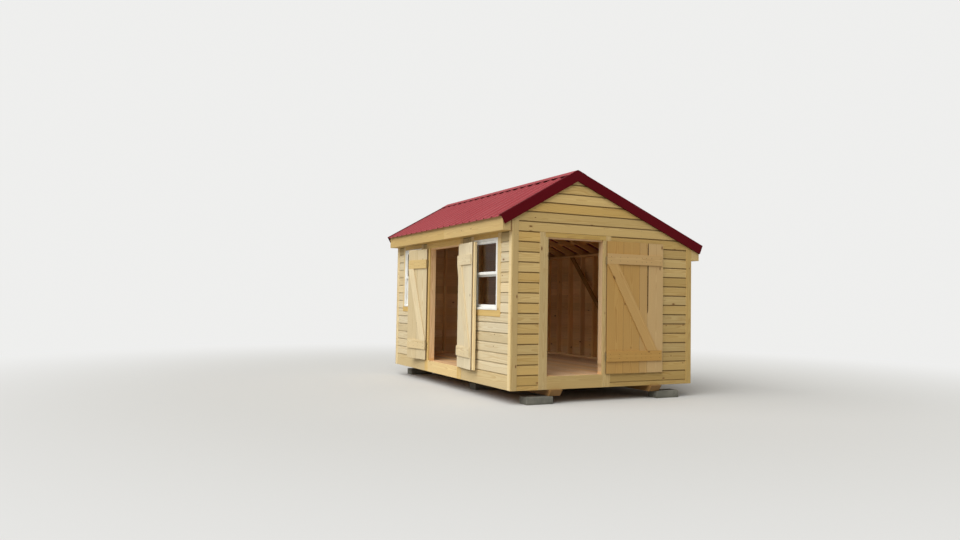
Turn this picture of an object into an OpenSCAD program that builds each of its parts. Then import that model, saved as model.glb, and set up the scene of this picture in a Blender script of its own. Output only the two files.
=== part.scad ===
// Ice fishing hut: a small pine shed on two skids, with an unequal-pitch metal roof.
// The long front wall faces -Y and the near gable faces +X.
// The origin is at the centre of the plan, on the ground, with +Z up.

/* [Hut] */
// Length over the siding of the two gables
hut_length = 4340; // [3960:10:4880]
// Width over the siding of the two long walls
hut_width = 3050; // [2900:10:3300]
// Height of the ridge above the underside of the siding
ridge_height = 2995; // [2940:1:3050]
// Distance from the front wall to the ridge
ridge_setback = 995; // [960:1:1060]
// Slope of the short front roof side, in degrees
front_slope = 30; // [29:0.1:31]
// Slope of the long rear roof side, in degrees
rear_slope = 22.6; // [22:0.1:23]

/* [Base] */
// Length of a concrete block, across the hut
block_length = 406; // [380:1:420]
// Width of a concrete block
block_width = 203; // [190:1:300]
// Height of a concrete block
block_height = 102; // [90:1:200]
// How far an end block's middle lies outside the middle of its skid
block_offset = 240; // [0:1:250]
// The same for a middle block
middle_block_offset = 150; // [0:1:240]
// Distance from the plan's middle to the middle blocks, towards the near gable
middle_block_place = 370; // [0:1:600]
// How far the end blocks stand past the gables
block_reach = 20; // [0:1:60]
// Width of a skid
skid_width = 184; // [140:1:235]
// Height of a skid
skid_height = 89; // [80:1:140]
// Distance between the middles of the two skids
skid_spacing = 1690; // [1500:1:1900]
// How far the skids run past the gables
skid_reach = 60; // [60:1:120]
// How far the lower edge of a skid's end is cut back
skid_bevel = 70; // [20:1:120]

/* [Floor] */
// Height of a floor joist
joist_height = 140; // [120:1:184]
// Thickness of the floor planks
plank_thickness = 38; // [19:1:44]

/* [Walls] */
// Thickness of the siding boards
siding_thickness = 19; // [16:1:25]
// Thickness of framing lumber
stud_thickness = 38; // [35:1:45]
// Depth of framing lumber
stud_depth = 89; // [80:1:100]
// Wanted spacing of studs, joists and rafters
stud_spacing = 406; // [380:1:430]
// Width of a trim board
trim_width = 89; // [80:1:100]
// How far the trim boards stand out of the siding
trim_proud = 6; // [3:1:8]
// Width of the long brace inside the rear wall
wall_brace_width = 89; // [64:1:120]
// Distance from the plan's middle to that brace's foot, towards the near gable
wall_brace_foot = 840; // [500:1:1500]
// Distance from the plan's middle to that brace's head, towards the far gable
wall_brace_head = 850; // [500:1:1500]
// Thickness of that brace
wall_brace_thickness = 19; // [16:1:25]

/* [Doorways] */
// Clear width of the gable doorway
gable_clear = 900; // [850:1:920]
// Distance from the front wall to the middle of the gable doorway
gable_door_setback = 1001; // [980:1:1030]
// Clear width of the double front doorway
front_clear = 1150; // [1090:1:1170]
// How far the middle of the front doorway is set back from the plan's middle, towards the far gable
front_door_setback = 70; // [40:1:100]
// Clear height of both doorways above the floor
door_clear_height = 1830; // [1780:1:1860]
// How much higher the gable doorway and its leaf reach than the front ones
gable_rise = 26; // [0:1:40]
// Height of header left bare under the head boards
head_reveal = 15; // [10:1:20]
// Width of the jamb strip between a casing and the clear opening
jamb_strip = 45; // [40:1:50]
// Height of a door header
header_height = 89; // [80:1:100]

/* [Windows] */
// Width of a window frame
window_width = 749; // [700:1:780]
// Height of a window frame
window_height = 993; // [940:1:1010]
// Height of a window's underside above the siding's underside
window_base = 1052; // [1020:1:1080]
// Distance from the plan's middle to a window
window_setback = 1015; // [1000:1:1040]
// Depth of a window frame
window_depth = 80; // [70:1:90]
// How far a window frame stands out of the siding
window_proud = 12; // [8:1:14]
// Width of a window frame's members
window_member = 32; // [28:1:40]
// How far the upper sash stands behind the frame's face
sash_setback = 12; // [8:1:16]
// Width of a sash's members
sash_member = 40; // [30:1:46]
// How far the two sashes of a window lap each other
sash_lap = 12; // [6:1:36]
// Thickness of a sash
sash_thickness = 26; // [20:1:30]
// Thickness of a pane
glass_thickness = 6; // [4:1:8]

/* [Roof] */
// Height of the ribs of the metal sheets
rib_height = 20; // [15:1:25]
// Wanted spacing of the ribs
rib_spacing = 229; // [200:1:305]
// Width of a rib at its foot
rib_foot = 46; // [36:1:60]
// Width of a rib at its top
rib_top = 20; // [14:1:30]
// Thickness of the sheets
sheet_thickness = 3; // [2:0.5:4]
// Thickness of the purlins and the eave boards
board_thickness = 19; // [16:1:25]
// Width of a purlin
purlin_width = 89; // [64:1:100]
// Wanted spacing of the purlins up the slope
purlin_spacing = 480; // [400:1:520]
// Distance from a long wall to the outer face of its fascia
eave_reach = 153; // [130:1:180]
// How far the sheets run past a fascia
drip_reach = 50; // [30:1:70]
// Height of the front soffit above the siding's underside
front_soffit_height = 2109; // [2095:1:2120]
// Height of the rear soffit above the siding's underside
rear_soffit_height = 1828; // [1800:1:1860]
// Height of the ridge board
ridge_board_height = 140; // [120:1:184]
// Depth of the notch where a rafter sits on its plate
birdsmouth_rise = 35; // [25:1:36]
// Width of a rake trim, square to the slope
rake_width = 135; // [132:1:150]
// Thickness of a rake trim
rake_thickness = 25; // [20:1:30]
// Width of the rake trim's flange on the sheet
rake_flange = 40; // [30:1:60]
// Width of each wing of the ridge cap
cap_wing = 150; // [120:1:180]
// Thickness of folded trim
fold_thickness = 3; // [2:0.5:4]

/* [Doors] */
// Thickness of the door boards, ledges and braces
door_board = 19; // [16:1:22]
// Width of a ledge
ledge_width = 146; // [120:1:160]
// Width of a door's brace
brace_width = 150; // [120:1:160]
// Distance from a leaf's bottom edge to its lower ledge
ledge_inset = 168; // [120:1:200]
// Distance from a leaf's top edge to its upper ledge
top_ledge_inset = 174; // [120:1:200]
// Distance from a leaf's free edge to the ends of its ledges
ledge_setback = 30; // [20:1:40]
// How far the foot of the gable leaf's brace stops short of its ledge's end
brace_setback = 75; // [40:1:100]
// Width of the gable leaf
gable_leaf = 998; // [960:1:1010]
// How far a closed leaf laps over the jamb strip on its hinged side
hinge_lap = 32; // [28:1:36]
// Gap between the front leaves, and between a leaf and the head board above it
leaf_gap = 6; // [5:0.5:8]
// Gap between the casings and what a closed leaf shows them
leaf_standoff = 8; // [7:0.5:10]
// Gap between a leaf and the floor
leaf_foot_gap = 8; // [6:0.5:12]
// How far the gable leaf stands open, in degrees
gable_open = 180; // [90:1:180]
// How far the left front leaf stands open, in degrees
left_open = 171; // [90:1:176]
// How far the right front leaf stands open, in degrees
right_open = 174; // [90:1:174]
// Width of the cover strip on the right front leaf
strip_width = 70; // [64:1:76]
// How far that strip reaches over the other leaf
strip_lap = 44; // [36:1:48]
// Thickness of that strip
strip_thickness = 38; // [30:1:40]
// Height of the latch's middle above the siding's underside
latch_height = 1150; // [1000:1:1300]
// Width of the latch's plate
latch_plate_width = 30; // [24:1:40]
// Height of the latch's plate
latch_plate_height = 110; // [95:1:130]
// How far the latch's grip stands out
latch_reach = 28; // [22:1:30]
// Length of the latch's grip
grip_length = 80; // [70:1:90]
// Radius of the latch's grip
grip_radius = 6; // [5:0.5:8]
// Radius of the posts that carry the grip
post_radius = 4; // [3:0.5:5]

/* [Hinges] */
// Radius of a hinge pin
pin_radius = 3; // [2.5:0.1:3.2]
// Radial running clearance of a pin in its knuckle
pin_clearance = 0.05; // [0.02:0.01:0.08]
// Outer radius of a hinge knuckle
knuckle_radius = 5.7; // [5:0.1:5.9]
// Distance from the pin to the hinged edge of a leaf
hinge_edge = 8; // [7.5:0.5:10]
// Thickness of hinge metal
strap_thickness = 2.5; // [2:0.1:2.5]
// Length of a strap on a leaf
strap_length = 300; // [200:5:330]
// Width of a strap at the knuckle
strap_width = 50; // [40:1:60]
// Width of a strap at its tip
strap_tip = 26; // [20:1:36]
// Width of the plate on the casing
plate_width = 36; // [28:1:45]
// Height of the plate on the casing
plate_height = 110; // [90:1:130]
// Axial gap between knuckles
knuckle_gap = 0.5; // [0.3:0.1:1]

/* [Hidden] */

// Small gap that keeps neighbouring pieces from cutting into each other
seat = 0.3;
// Overlap used only inside a cut
cut = 5;

// Heights above the ground
wall_base = block_height + skid_height;
floor_top = wall_base + joist_height + plank_thickness;
door_top = floor_top + door_clear_height;
ridge_z = wall_base + ridge_height;
front_soffit_z = wall_base + front_soffit_height;
rear_soffit_z = wall_base + rear_soffit_height;
window_z = wall_base + window_base;
plate_base = floor_top + stud_thickness;

// Half sizes of the plan, over the siding and over the framing
half_length = hut_length / 2;
half_width = hut_width / 2;
frame_x = half_length - siding_thickness;
frame_y = half_width - siding_thickness;
ridge_y = ridge_setback - half_width;
gable_door_y = gable_door_setback - half_width;
front_door_x = -front_door_setback;

// Depths below the tops of the ribs, square to the slope
sheet_under = rib_height + sheet_thickness;
purlin_under = sheet_under + board_thickness;
rafter_under = purlin_under + stud_depth;
run_over_eave = eave_reach + drip_reach;

// Framing repeated along the two directions
long_bays = round((2 * frame_x - stud_thickness) / stud_spacing);
long_pitch = (2 * frame_x - stud_thickness) / long_bays;
cross_clear = 2 * frame_y - 2 * stud_depth;
cross_bays = round((cross_clear - stud_thickness) / stud_spacing);
cross_pitch = (cross_clear - stud_thickness) / cross_bays;

// Doors. A leaf lies over the casings and turns on pins that stand out by the ledges' thickness.
// The front pins stand front_pin_x to each side of their doorway's middle.
head_base = door_top + head_reveal;
leaf_base = floor_top + leaf_foot_gap;
leaf_top = head_base - leaf_gap;
gable_head_base = head_base + gable_rise;
gable_leaf_top = leaf_top + gable_rise;
casing_start = jamb_strip + seat;
casing_end = jamb_strip + trim_width;
pin_stand = leaf_standoff + door_board;
hinge_out = trim_proud + pin_stand;
pin_lap = hinge_lap + hinge_edge;
hinge_heights = [leaf_base + ledge_inset + ledge_width / 2,
                 leaf_top - top_ledge_inset - ledge_width / 2];
gable_pin = [half_length + hinge_out, gable_door_y + gable_clear / 2 + pin_lap];
front_pin_x = front_clear / 2 + pin_lap;
front_pin_y = -half_width - hinge_out;
front_leaf = front_pin_x - hinge_edge - leaf_gap / 2;

// Windows, with a little play round each frame in the framing
window_x = window_setback + window_width / 2;
window_play = 3;
rough_half = window_width / 2 + window_play;
trim_half = window_width / 2 + trim_width;
rough_top = window_z + window_height + window_play;

// Height at the place y of the two planes that lie depth below the rib tops
function roof_z(y, depth) = min(
    ridge_z - depth / cos(front_slope) - (ridge_y - y) * tan(front_slope),
    ridge_z - depth / cos(rear_slope) - (y - ridge_y) * tan(rear_slope)
);

// The place in Y and Z where those two planes meet
function ridge_point(depth) =
    let (
        shift = 1 / cos(front_slope) - 1 / cos(rear_slope),
        y = ridge_y + depth * shift / (tan(front_slope) + tan(rear_slope))
    )
    [y, roof_z(y, depth)];

// A place in Y and Z, run down one slope and depth below its rib tops
function slope_point(side, run, depth) =
    let (slope = side < 0 ? front_slope : rear_slope)
    [ridge_y + side * (run * cos(slope) - depth * sin(slope)),
     ridge_z - run * sin(slope) - depth * cos(slope)];

front_plate_top = roof_z(-frame_y, rafter_under) + birdsmouth_rise;
rear_plate_top = roof_z(frame_y, rafter_under) + birdsmouth_rise;
front_siding_top = roof_z(-half_width, rafter_under) - seat;
rear_siding_top = roof_z(half_width, rafter_under) - seat;

// Extrudes an outline given in Y and Z along X, from x to x + length
module along_x(x, length) {
    translate([x, 0, 0])
        rotate([90, 0, 90])
            linear_extrude(length)
                children();
}

// Extrudes an outline given in X and Z along Y, from y to y + length
module along_y(y, length) {
    translate([0, y + length, 0])
        rotate([90, 0, 0])
            linear_extrude(length)
                children();
}

// Extrudes an outline given in X and Y along Z, from z to z + length
module along_z(z, length) {
    translate([0, 0, z])
        linear_extrude(length)
            children();
}

// A box given by its low and high corners
module slab(low, high) {
    translate(low)
        cube(high - low);
}

// Repeats its children on the mirrored side of the plan
module both_ends() {
    children();
    mirror([1, 0, 0])
        children();
}

module both_sides() {
    children();
    mirror([0, 1, 0])
        children();
}

// Puts a slope's own frame in place: X along the ridge, +Y down the slope, Z = 0 at the rib tops
module on_front_slope() {
    translate([0, ridge_y, ridge_z])
        mirror([0, 1, 0])
            rotate([-front_slope, 0, 0])
                children();
}

module on_rear_slope() {
    translate([0, ridge_y, ridge_z])
        rotate([-rear_slope, 0, 0])
            children();
}

front_run = (ridge_setback + run_over_eave) / cos(front_slope);
rear_run = (hut_width - ridge_setback + run_over_eave) / cos(rear_slope);

// Base
module concrete_blocks() {
    color("darkgray")
        for (end = [-1, 0, 1], side = [-1, 1]) {
            middle = end == 0;
            x = middle ? middle_block_place : end * (half_length + block_reach - block_width / 2);
            y = side * (skid_spacing / 2 + (middle ? middle_block_offset : block_offset));
            slab([x - block_width / 2, y - block_length / 2, 0],
                 [x + block_width / 2, y + block_length / 2, block_height]);
        }
}

module skid_outline() {
    reach = half_length + skid_reach;
    polygon([
        [-reach, wall_base], [-reach + skid_bevel, block_height],
        [reach - skid_bevel, block_height], [reach, wall_base]
    ]);
}

module skids() {
    color("tan")
        both_sides()
            along_y(skid_spacing / 2 - skid_width / 2, skid_width)
                skid_outline();
}

// Floor: joists between the two rim joists under the long walls
module floor_joists() {
    inner_y = frame_y - stud_thickness;
    color("burlywood") {
        for (i = [0 : long_bays])
            translate([-frame_x + i * long_pitch, seat - inner_y, wall_base])
                cube([stud_thickness, 2 * (inner_y - seat), joist_height]);
        both_sides()
            slab([-frame_x, inner_y, wall_base], [frame_x, frame_y, wall_base + joist_height]);
    }
}

module floor_planks() {
    color("peru")
        slab([-frame_x, -frame_y, floor_top - plank_thickness], [frame_x, frame_y, floor_top]);
}

// Wall framing
module long_wall_plates() {
    color("burlywood") {
        slab([-frame_x, -frame_y, floor_top],
             [front_door_x - front_clear / 2, -frame_y + stud_depth, plate_base]);
        slab([front_door_x + front_clear / 2, -frame_y, floor_top],
             [frame_x, -frame_y + stud_depth, plate_base]);
        slab([-frame_x, frame_y - stud_depth, floor_top], [frame_x, frame_y, plate_base]);
        slab([-frame_x, -frame_y, front_plate_top - stud_thickness],
             [frame_x, -frame_y + stud_depth, front_plate_top]);
        slab([-frame_x, frame_y - stud_depth, rear_plate_top - stud_thickness],
             [frame_x, frame_y, rear_plate_top]);
    }
}

module gable_plates() {
    inner_y = frame_y - stud_depth;
    color("burlywood") {
        slab([frame_x - stud_depth, -inner_y, floor_top],
             [frame_x, gable_door_y - gable_clear / 2, plate_base]);
        slab([frame_x - stud_depth, gable_door_y + gable_clear / 2, floor_top],
             [frame_x, inner_y, plate_base]);
        slab([-frame_x, -inner_y, floor_top], [-frame_x + stud_depth, inner_y, plate_base]);
    }
}

// A stud of a long wall, centred at x, under a plate or a sill that ends at top
module long_stud(x, y, top) {
    translate([x - stud_thickness / 2, y, plate_base])
        cube([stud_thickness, stud_depth, top - stud_thickness - plate_base]);
}

// Middles of the front wall's studs: the door's pair on each side, then the window's, then the rest
front_stud_x = concat(
    [for (i = [0 : long_bays])
        let (x = -frame_x + stud_thickness / 2 + i * long_pitch)
        if (abs(x - front_door_x) > front_clear / 2 + 3 * stud_thickness
            && abs(abs(x) - window_x) > rough_half + 2 * stud_thickness) x],
    [for (side = [-1, 1], k = [0, 1])
        front_door_x + side * (front_clear / 2 + (k + 0.5) * stud_thickness)],
    [for (side = [-1, 1], edge = [-1, 1])
        side * window_x + edge * (rough_half + stud_thickness / 2)]
);

// The studs of both long walls, with a short one under each window
module long_wall_studs() {
    color("burlywood") {
        for (x = front_stud_x)
            long_stud(x, -frame_y, front_plate_top);
        for (side = [-1, 1])
            long_stud(side * window_x, -frame_y, window_z);
        for (i = [0 : long_bays])
            long_stud(-frame_x + stud_thickness / 2 + i * long_pitch, frame_y - stud_depth, rear_plate_top);
    }
}

// A gable stud from y to y + its thickness, cut to the slope of the end rafter
module gable_stud(x, y) {
    along_x(x, stud_depth)
        polygon([
            [y, plate_base], [y + stud_thickness, plate_base],
            [y + stud_thickness, roof_z(y + stud_thickness, rafter_under)],
            [y, roof_z(y, rafter_under)]
        ]);
}

cross_stud_y = [for (i = [0 : cross_bays]) -frame_y + stud_depth + i * cross_pitch];

// The studs of both gables, with the near one's left out for a pair beside its doorway
module gable_studs() {
    color("burlywood") {
        for (y = cross_stud_y) {
            gable_stud(-frame_x, y);
            if (abs(y + stud_thickness / 2 - gable_door_y) > gable_clear / 2 + 2.5 * stud_thickness)
                gable_stud(frame_x - stud_depth, y);
        }
        for (side = [-1, 1])
            gable_stud(frame_x - stud_depth,
                       gable_door_y + side * (gable_clear + stud_thickness) / 2 - stud_thickness / 2);
    }
}

// The headers over the doorways, and the header and sill of each window
module wall_headers() {
    color("burlywood") {
        slab([front_door_x - front_clear / 2, -frame_y, door_top],
             [front_door_x + front_clear / 2, -frame_y + stud_depth, door_top + header_height]);
        slab([frame_x - stud_depth, gable_door_y - gable_clear / 2, door_top + gable_rise],
             [frame_x, gable_door_y + gable_clear / 2, door_top + gable_rise + header_height]);
        for (side = [-1, 1]) {
            left = side * window_x - rough_half;
            right = side * window_x + rough_half;
            slab([left, -frame_y, rough_top], [right, -frame_y + stud_depth, rough_top + stud_depth]);
            slab([left, -frame_y, window_z - stud_thickness], [right, -frame_y + stud_depth, window_z]);
        }
    }
}

// The long flat brace on the inner face of the rear studs, rising towards the far gable
module rear_wall_brace() {
    inner = frame_y - stud_depth;
    low = [wall_brace_foot, plate_base];
    high = [-wall_brace_head, rear_plate_top - stud_thickness];
    half = wall_brace_width / 2 / sin(atan2(high[1] - low[1], high[0] - low[0]));
    color("burlywood")
        along_y(inner - wall_brace_thickness, wall_brace_thickness)
            polygon([
                [low[0] - half, low[1]], [low[0] + half, low[1]],
                [high[0] + half, high[1]], [high[0] - half, high[1]]
            ]);
}

// Siding
module rear_siding() {
    color("wheat")
        slab([-half_length + trim_width, frame_y, wall_base],
             [half_length - trim_width, half_width, rear_siding_top]);
}

// A gable's siding between its corner boards, from their feet up to the purlins
module gable_siding() {
    y_end = half_width - trim_width;
    along_x(frame_x, siding_thickness)
        polygon([
            [-y_end, wall_base], [y_end, wall_base], [y_end, roof_z(y_end, purlin_under)],
            ridge_point(purlin_under), [-y_end, roof_z(-y_end, purlin_under)]
        ]);
}

module far_gable_siding() {
    color("wheat")
        mirror([1, 0, 0])
            gable_siding();
}

gable_casing_reach = gable_clear / 2 + casing_end;
gable_head_top = head_base + trim_width;

// The part of the near gable's siding between two places in Y and two heights
module near_gable_siding(low, high) {
    intersection() {
        gable_siding();
        slab([frame_x - cut, low[0], low[1]], [half_length + cut, high[0], high[1]]);
    }
}

// The near gable's siding on both sides of its doorway
module near_gable_side_siding() {
    low = wall_base - cut;
    color("wheat") {
        near_gable_siding([-half_width, low], [gable_door_y - gable_casing_reach, gable_head_top]);
        near_gable_siding([gable_door_y + gable_casing_reach, low], [half_width, gable_head_top]);
    }
}

module near_gable_top_siding() {
    color("wheat")
        near_gable_siding([-half_width, gable_head_top], [half_width, ridge_z]);
}

front_casing_reach = front_clear / 2 + casing_end;

// The siding on both sides of the front doorway, cut through for the windows and their trim
module front_side_siding() {
    x_end = half_length - trim_width;
    spans = [[-x_end, front_door_x - front_casing_reach], [front_door_x + front_casing_reach, x_end]];
    color("wheat")
        for (span = spans)
            difference() {
                slab([span[0], -half_width, wall_base], [span[1], -frame_y, front_siding_top]);
                both_ends()
                    slab([window_x - trim_half, -half_width - cut, window_z - trim_width],
                         [window_x + trim_half, -frame_y + cut, front_soffit_z]);
            }
}

module front_top_siding() {
    color("wheat")
        slab([front_door_x - front_casing_reach, -half_width, front_soffit_z],
             [front_door_x + front_casing_reach, -frame_y, front_siding_top]);
}

// Trim boards
module corner_board(side, soffit_z) {
    outer = half_width + trim_proud;
    y_outer = side * outer;
    y_inner = side * (half_width - trim_width);
    along_x(frame_x, siding_thickness + trim_proud)
        polygon([
            [y_outer, wall_base], [y_inner, wall_base],
            [y_inner, roof_z(y_inner, purlin_under)], [y_outer, roof_z(y_outer, purlin_under)]
        ]);
    mirror([0, side > 0 ? 0 : 1, 0])
        slab([half_length - trim_width, frame_y, wall_base], [frame_x, outer, soffit_z]);
}

module corner_boards() {
    color("navajowhite")
        both_ends() {
            corner_board(-1, front_soffit_z);
            corner_board(1, rear_soffit_z);
        }
}

// A board of the gable doorway, between two places on either side of its middle
module gable_trim(from, to, base, top) {
    slab([frame_x, gable_door_y + from, base], [half_length + trim_proud, gable_door_y + to, top]);
}

module front_trim(from, to, base, top) {
    slab([front_door_x + from, -half_width - trim_proud, base], [front_door_x + to, -frame_y, top]);
}

// Casings beside each doorway, and the jamb strips that line it under the head boards
module door_casings() {
    gable = gable_clear / 2;
    front = front_clear / 2;
    color("navajowhite") {
        gable_trim(gable + casing_start, gable + casing_end, wall_base, gable_head_top);
        gable_trim(-gable - casing_end, -gable - casing_start, wall_base, gable_head_top);
        gable_trim(gable, gable + jamb_strip, wall_base, gable_head_base - seat);
        gable_trim(-gable - jamb_strip, -gable, wall_base, gable_head_base - seat);
        front_trim(front + casing_start, front + casing_end, wall_base, front_soffit_z);
        front_trim(-front - casing_end, -front - casing_start, wall_base, front_soffit_z);
        front_trim(front, front + jamb_strip, wall_base, head_base - seat);
        front_trim(-front - jamb_strip, -front, wall_base, head_base - seat);
    }
}

// Head boards between the casings, and sill boards between the jamb strips
module door_heads_and_sills() {
    gable = gable_clear / 2;
    front = front_clear / 2;
    color("navajowhite") {
        gable_trim(-gable - jamb_strip, gable + jamb_strip, gable_head_base, gable_head_top);
        gable_trim(-gable, gable, wall_base, floor_top);
        front_trim(-front - jamb_strip, front + jamb_strip, head_base, front_soffit_z);
        front_trim(-front, front, wall_base, floor_top);
    }
}

// A flat ring in the front wall's plane, between two depths in front of the siding
module wall_ring(width, height, member, out_low, out_high) {
    translate([0, -half_width - out_high, 0])
        difference() {
            translate([-width / 2, 0, 0])
                cube([width, out_high - out_low, height]);
            translate([-width / 2 + member, -cut, member])
                cube([width - 2 * member, out_high - out_low + 2 * cut, height - 2 * member]);
        }
}

// The boards round each window, the upper one as tall as the room under the soffit
module window_trims() {
    color("navajowhite")
        for (side = [-1, 1])
            difference() {
                slab([side * window_x - trim_half, -half_width - trim_proud, window_z - trim_width],
                     [side * window_x + trim_half, -frame_y, front_soffit_z]);
                slab([side * window_x - window_width / 2, -half_width - trim_proud - cut, window_z],
                     [side * window_x + window_width / 2, -frame_y + cut, window_z + window_height]);
            }
}

module window_frames() {
    color("white")
        for (side = [-1, 1])
            translate([side * window_x, 0, window_z])
                wall_ring(window_width, window_height, window_member,
                          window_proud - window_depth, window_proud);
}

// The upper sash stands in front of the lower one, and both lap at the middle
sash_width = window_width - 2 * window_member;
sash_height = (window_height - 2 * window_member + sash_lap) / 2;
sash_out = window_proud - sash_setback;
upper_sash_z = window_z + window_height - window_member - sash_height;
lower_sash_z = window_z + window_member;

module window_sashes() {
    color("whitesmoke")
        for (side = [-1, 1]) {
            translate([side * window_x, 0, upper_sash_z])
                wall_ring(sash_width, sash_height, sash_member, sash_out - sash_thickness, sash_out);
            translate([side * window_x, 0, lower_sash_z])
                wall_ring(sash_width, sash_height, sash_member,
                          sash_out - 2 * sash_thickness - seat, sash_out - sash_thickness - seat);
        }
}

module pane(out_middle, base) {
    width = sash_width - 2 * sash_member;
    height = sash_height - 2 * sash_member;
    translate([-width / 2, -half_width - out_middle - glass_thickness / 2, base + sash_member])
        cube([width, glass_thickness, height]);
}

module window_glass() {
    color("lightsteelblue")
        for (side = [-1, 1])
            translate([side * window_x, 0, 0]) {
                pane(sash_out - sash_thickness / 2, upper_sash_z);
                pane(sash_out - 1.5 * sash_thickness - seat, lower_sash_z);
            }
}

// Roof
module ridge_board() {
    low_y = ridge_y - stud_thickness / 2;
    high_y = ridge_y + stud_thickness / 2;
    top = min(roof_z(low_y, purlin_under), roof_z(high_y, purlin_under));
    color("burlywood")
        slab([-frame_x, low_y, top - ridge_board_height], [frame_x, high_y, top]);
}

// One rafter: plumb cuts at the ridge board and the fascia, and a notch over the plate.
// side is -1 on the front slope and 1 on the rear one.
module rafter_outline(side) {
    head = ridge_y + side * stud_thickness / 2;
    heel = side * frame_y;
    tail = side * (half_width + eave_reach - board_thickness);
    slope = side < 0 ? front_slope : rear_slope;
    seat_end = heel - side * birdsmouth_rise / tan(slope);
    plate_top = roof_z(heel, rafter_under) + birdsmouth_rise;
    polygon([
        [head, roof_z(head, purlin_under)], [tail, roof_z(tail, purlin_under)],
        [tail, roof_z(tail, rafter_under)], [heel, roof_z(heel, rafter_under)],
        [heel, plate_top], [seat_end, plate_top], [head, roof_z(head, rafter_under)]
    ]);
}

module rafter_row(side) {
    for (i = [0 : long_bays])
        along_x(-frame_x + i * long_pitch, stud_thickness)
            rafter_outline(side);
}

module rafters() {
    color("burlywood") {
        rafter_row(-1);
        rafter_row(1);
    }
}

// Purlins across one slope, evenly spaced from the ridge to the back of the fascia
module purlin_row(slope, reach) {
    first = purlin_under;
    last = (reach + sheet_under * sin(slope)) / cos(slope) - purlin_width - seat;
    steps = ceil((last - first) / purlin_spacing);
    for (i = [0 : steps])
        translate([-half_length - trim_proud, first + i * (last - first) / steps, -purlin_under])
            cube([2 * (half_length + trim_proud), purlin_width, board_thickness]);
}

module purlins() {
    fascia_back = eave_reach - board_thickness;
    color("burlywood") {
        on_front_slope()
            purlin_row(front_slope, ridge_setback + fascia_back);
        on_rear_slope()
            purlin_row(rear_slope, hut_width - ridge_setback + fascia_back);
    }
}

// The sheet's cross-section: flat pans between evenly spaced ribs, with a rib at each end
rib_bays = round((hut_length + 2 * trim_proud - rib_foot) / rib_spacing);
rib_pitch = (hut_length + 2 * trim_proud - rib_foot) / rib_bays;
rib_first = -(rib_bays * rib_pitch) / 2;

function rib_line(foot, top, high, low) = [
    for (i = [0 : rib_bays])
        let (x = rib_first + i * rib_pitch)
        each [[x - foot / 2, low], [x - top / 2, high], [x + top / 2, high], [x + foot / 2, low]]
];

function reversed(points) = [for (i = [len(points) - 1 : -1 : 0]) points[i]];

module sheet_outline() {
    inset = sheet_thickness;
    polygon(concat(
        rib_line(rib_foot, rib_top, 0, -rib_height),
        [[half_length + trim_proud, -sheet_under]],
        reversed(rib_line(rib_foot - 2 * inset, rib_top - inset, -sheet_thickness, -sheet_under)),
        [[-half_length - trim_proud, -sheet_under]]
    ));
}

module roof_sheet(run) {
    translate([0, run, 0])
        rotate([90, 0, 0])
            linear_extrude(run - seat)
                sheet_outline();
}

// The two sheets meet at the ridge on the plane that halves the angle between them
module ridge_side(side) {
    lean = (front_slope - rear_slope) / 2;
    reach = 3 * hut_width;
    translate([0, ridge_y, ridge_z])
        rotate([lean, 0, 0])
            translate([-reach / 2, side < 0 ? -reach : seat, -reach / 2])
                cube([reach, reach, reach]);
}

module front_roof_sheet() {
    color("indianred")
        intersection() {
            on_front_slope()
                roof_sheet(front_run);
            ridge_side(-1);
        }
}

module rear_roof_sheet() {
    color("indianred")
        intersection() {
            on_rear_slope()
                roof_sheet(rear_run);
            ridge_side(1);
        }
}

// The folded cap over the ridge, whose wings lie on the flanges of the rake trims
module ridge_cap() {
    low = -fold_thickness - seat;
    high = low - fold_thickness;
    color("brown")
        along_x(-half_length - trim_proud - rake_thickness, 2 * (half_length + trim_proud + rake_thickness))
            polygon([
                slope_point(-1, cap_wing, low), slope_point(-1, cap_wing, high), ridge_point(high),
                slope_point(1, cap_wing, high), slope_point(1, cap_wing, low), ridge_point(low)
            ]);
}

// The rake trim's cross-section at the near gable: a deep face and a flange on the sheet
module rake_outline() {
    back = half_length + trim_proud;
    polygon([
        [back, fold_thickness - rake_width], [back + rake_thickness, fold_thickness - rake_width],
        [back + rake_thickness, fold_thickness], [back - rake_flange, fold_thickness],
        [back - rake_flange, seat], [back, seat]
    ]);
}

module rake_arm(run) {
    translate([0, run, 0])
        rotate([90, 0, 0])
            linear_extrude(run + rake_width)
                rake_outline();
}

module rake_trims() {
    color("darkred")
        both_ends() {
            intersection() {
                on_front_slope()
                    rake_arm(front_run);
                ridge_side(-1);
            }
            intersection() {
                on_rear_slope()
                    rake_arm(rear_run);
                ridge_side(1);
            }
        }
}

// A fascia from its soffit's underside up to the sheet
module fascia(side, soffit_z) {
    outer = half_width + eave_reach;
    top = roof_z(side * outer, sheet_under) - seat;
    mirror([0, side > 0 ? 0 : 1, 0])
        slab([-half_length - trim_proud, outer - board_thickness, soffit_z],
             [half_length + trim_proud, outer, top]);
}

module fascias() {
    color("navajowhite") {
        fascia(-1, front_soffit_z);
        fascia(1, rear_soffit_z);
    }
}

module soffit(side, soffit_z) {
    mirror([0, side > 0 ? 0 : 1, 0])
        slab([-frame_x, half_width, soffit_z],
             [frame_x, half_width + eave_reach - board_thickness, soffit_z + board_thickness]);
}

module soffits() {
    color("peru") {
        soffit(-1, front_soffit_z);
        soffit(1, rear_soffit_z);
    }
}

// The board that closes an eave's end, between the corner board and the fascia
module eave_end_cap(side, soffit_z) {
    y_inner = side * (half_width + trim_proud);
    y_outer = side * (half_width + eave_reach - board_thickness);
    along_x(frame_x, siding_thickness + trim_proud)
        polygon([
            [y_inner, soffit_z], [y_outer, soffit_z],
            [y_outer, roof_z(y_outer, purlin_under)], [y_inner, roof_z(y_inner, purlin_under)]
        ]);
}

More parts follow.
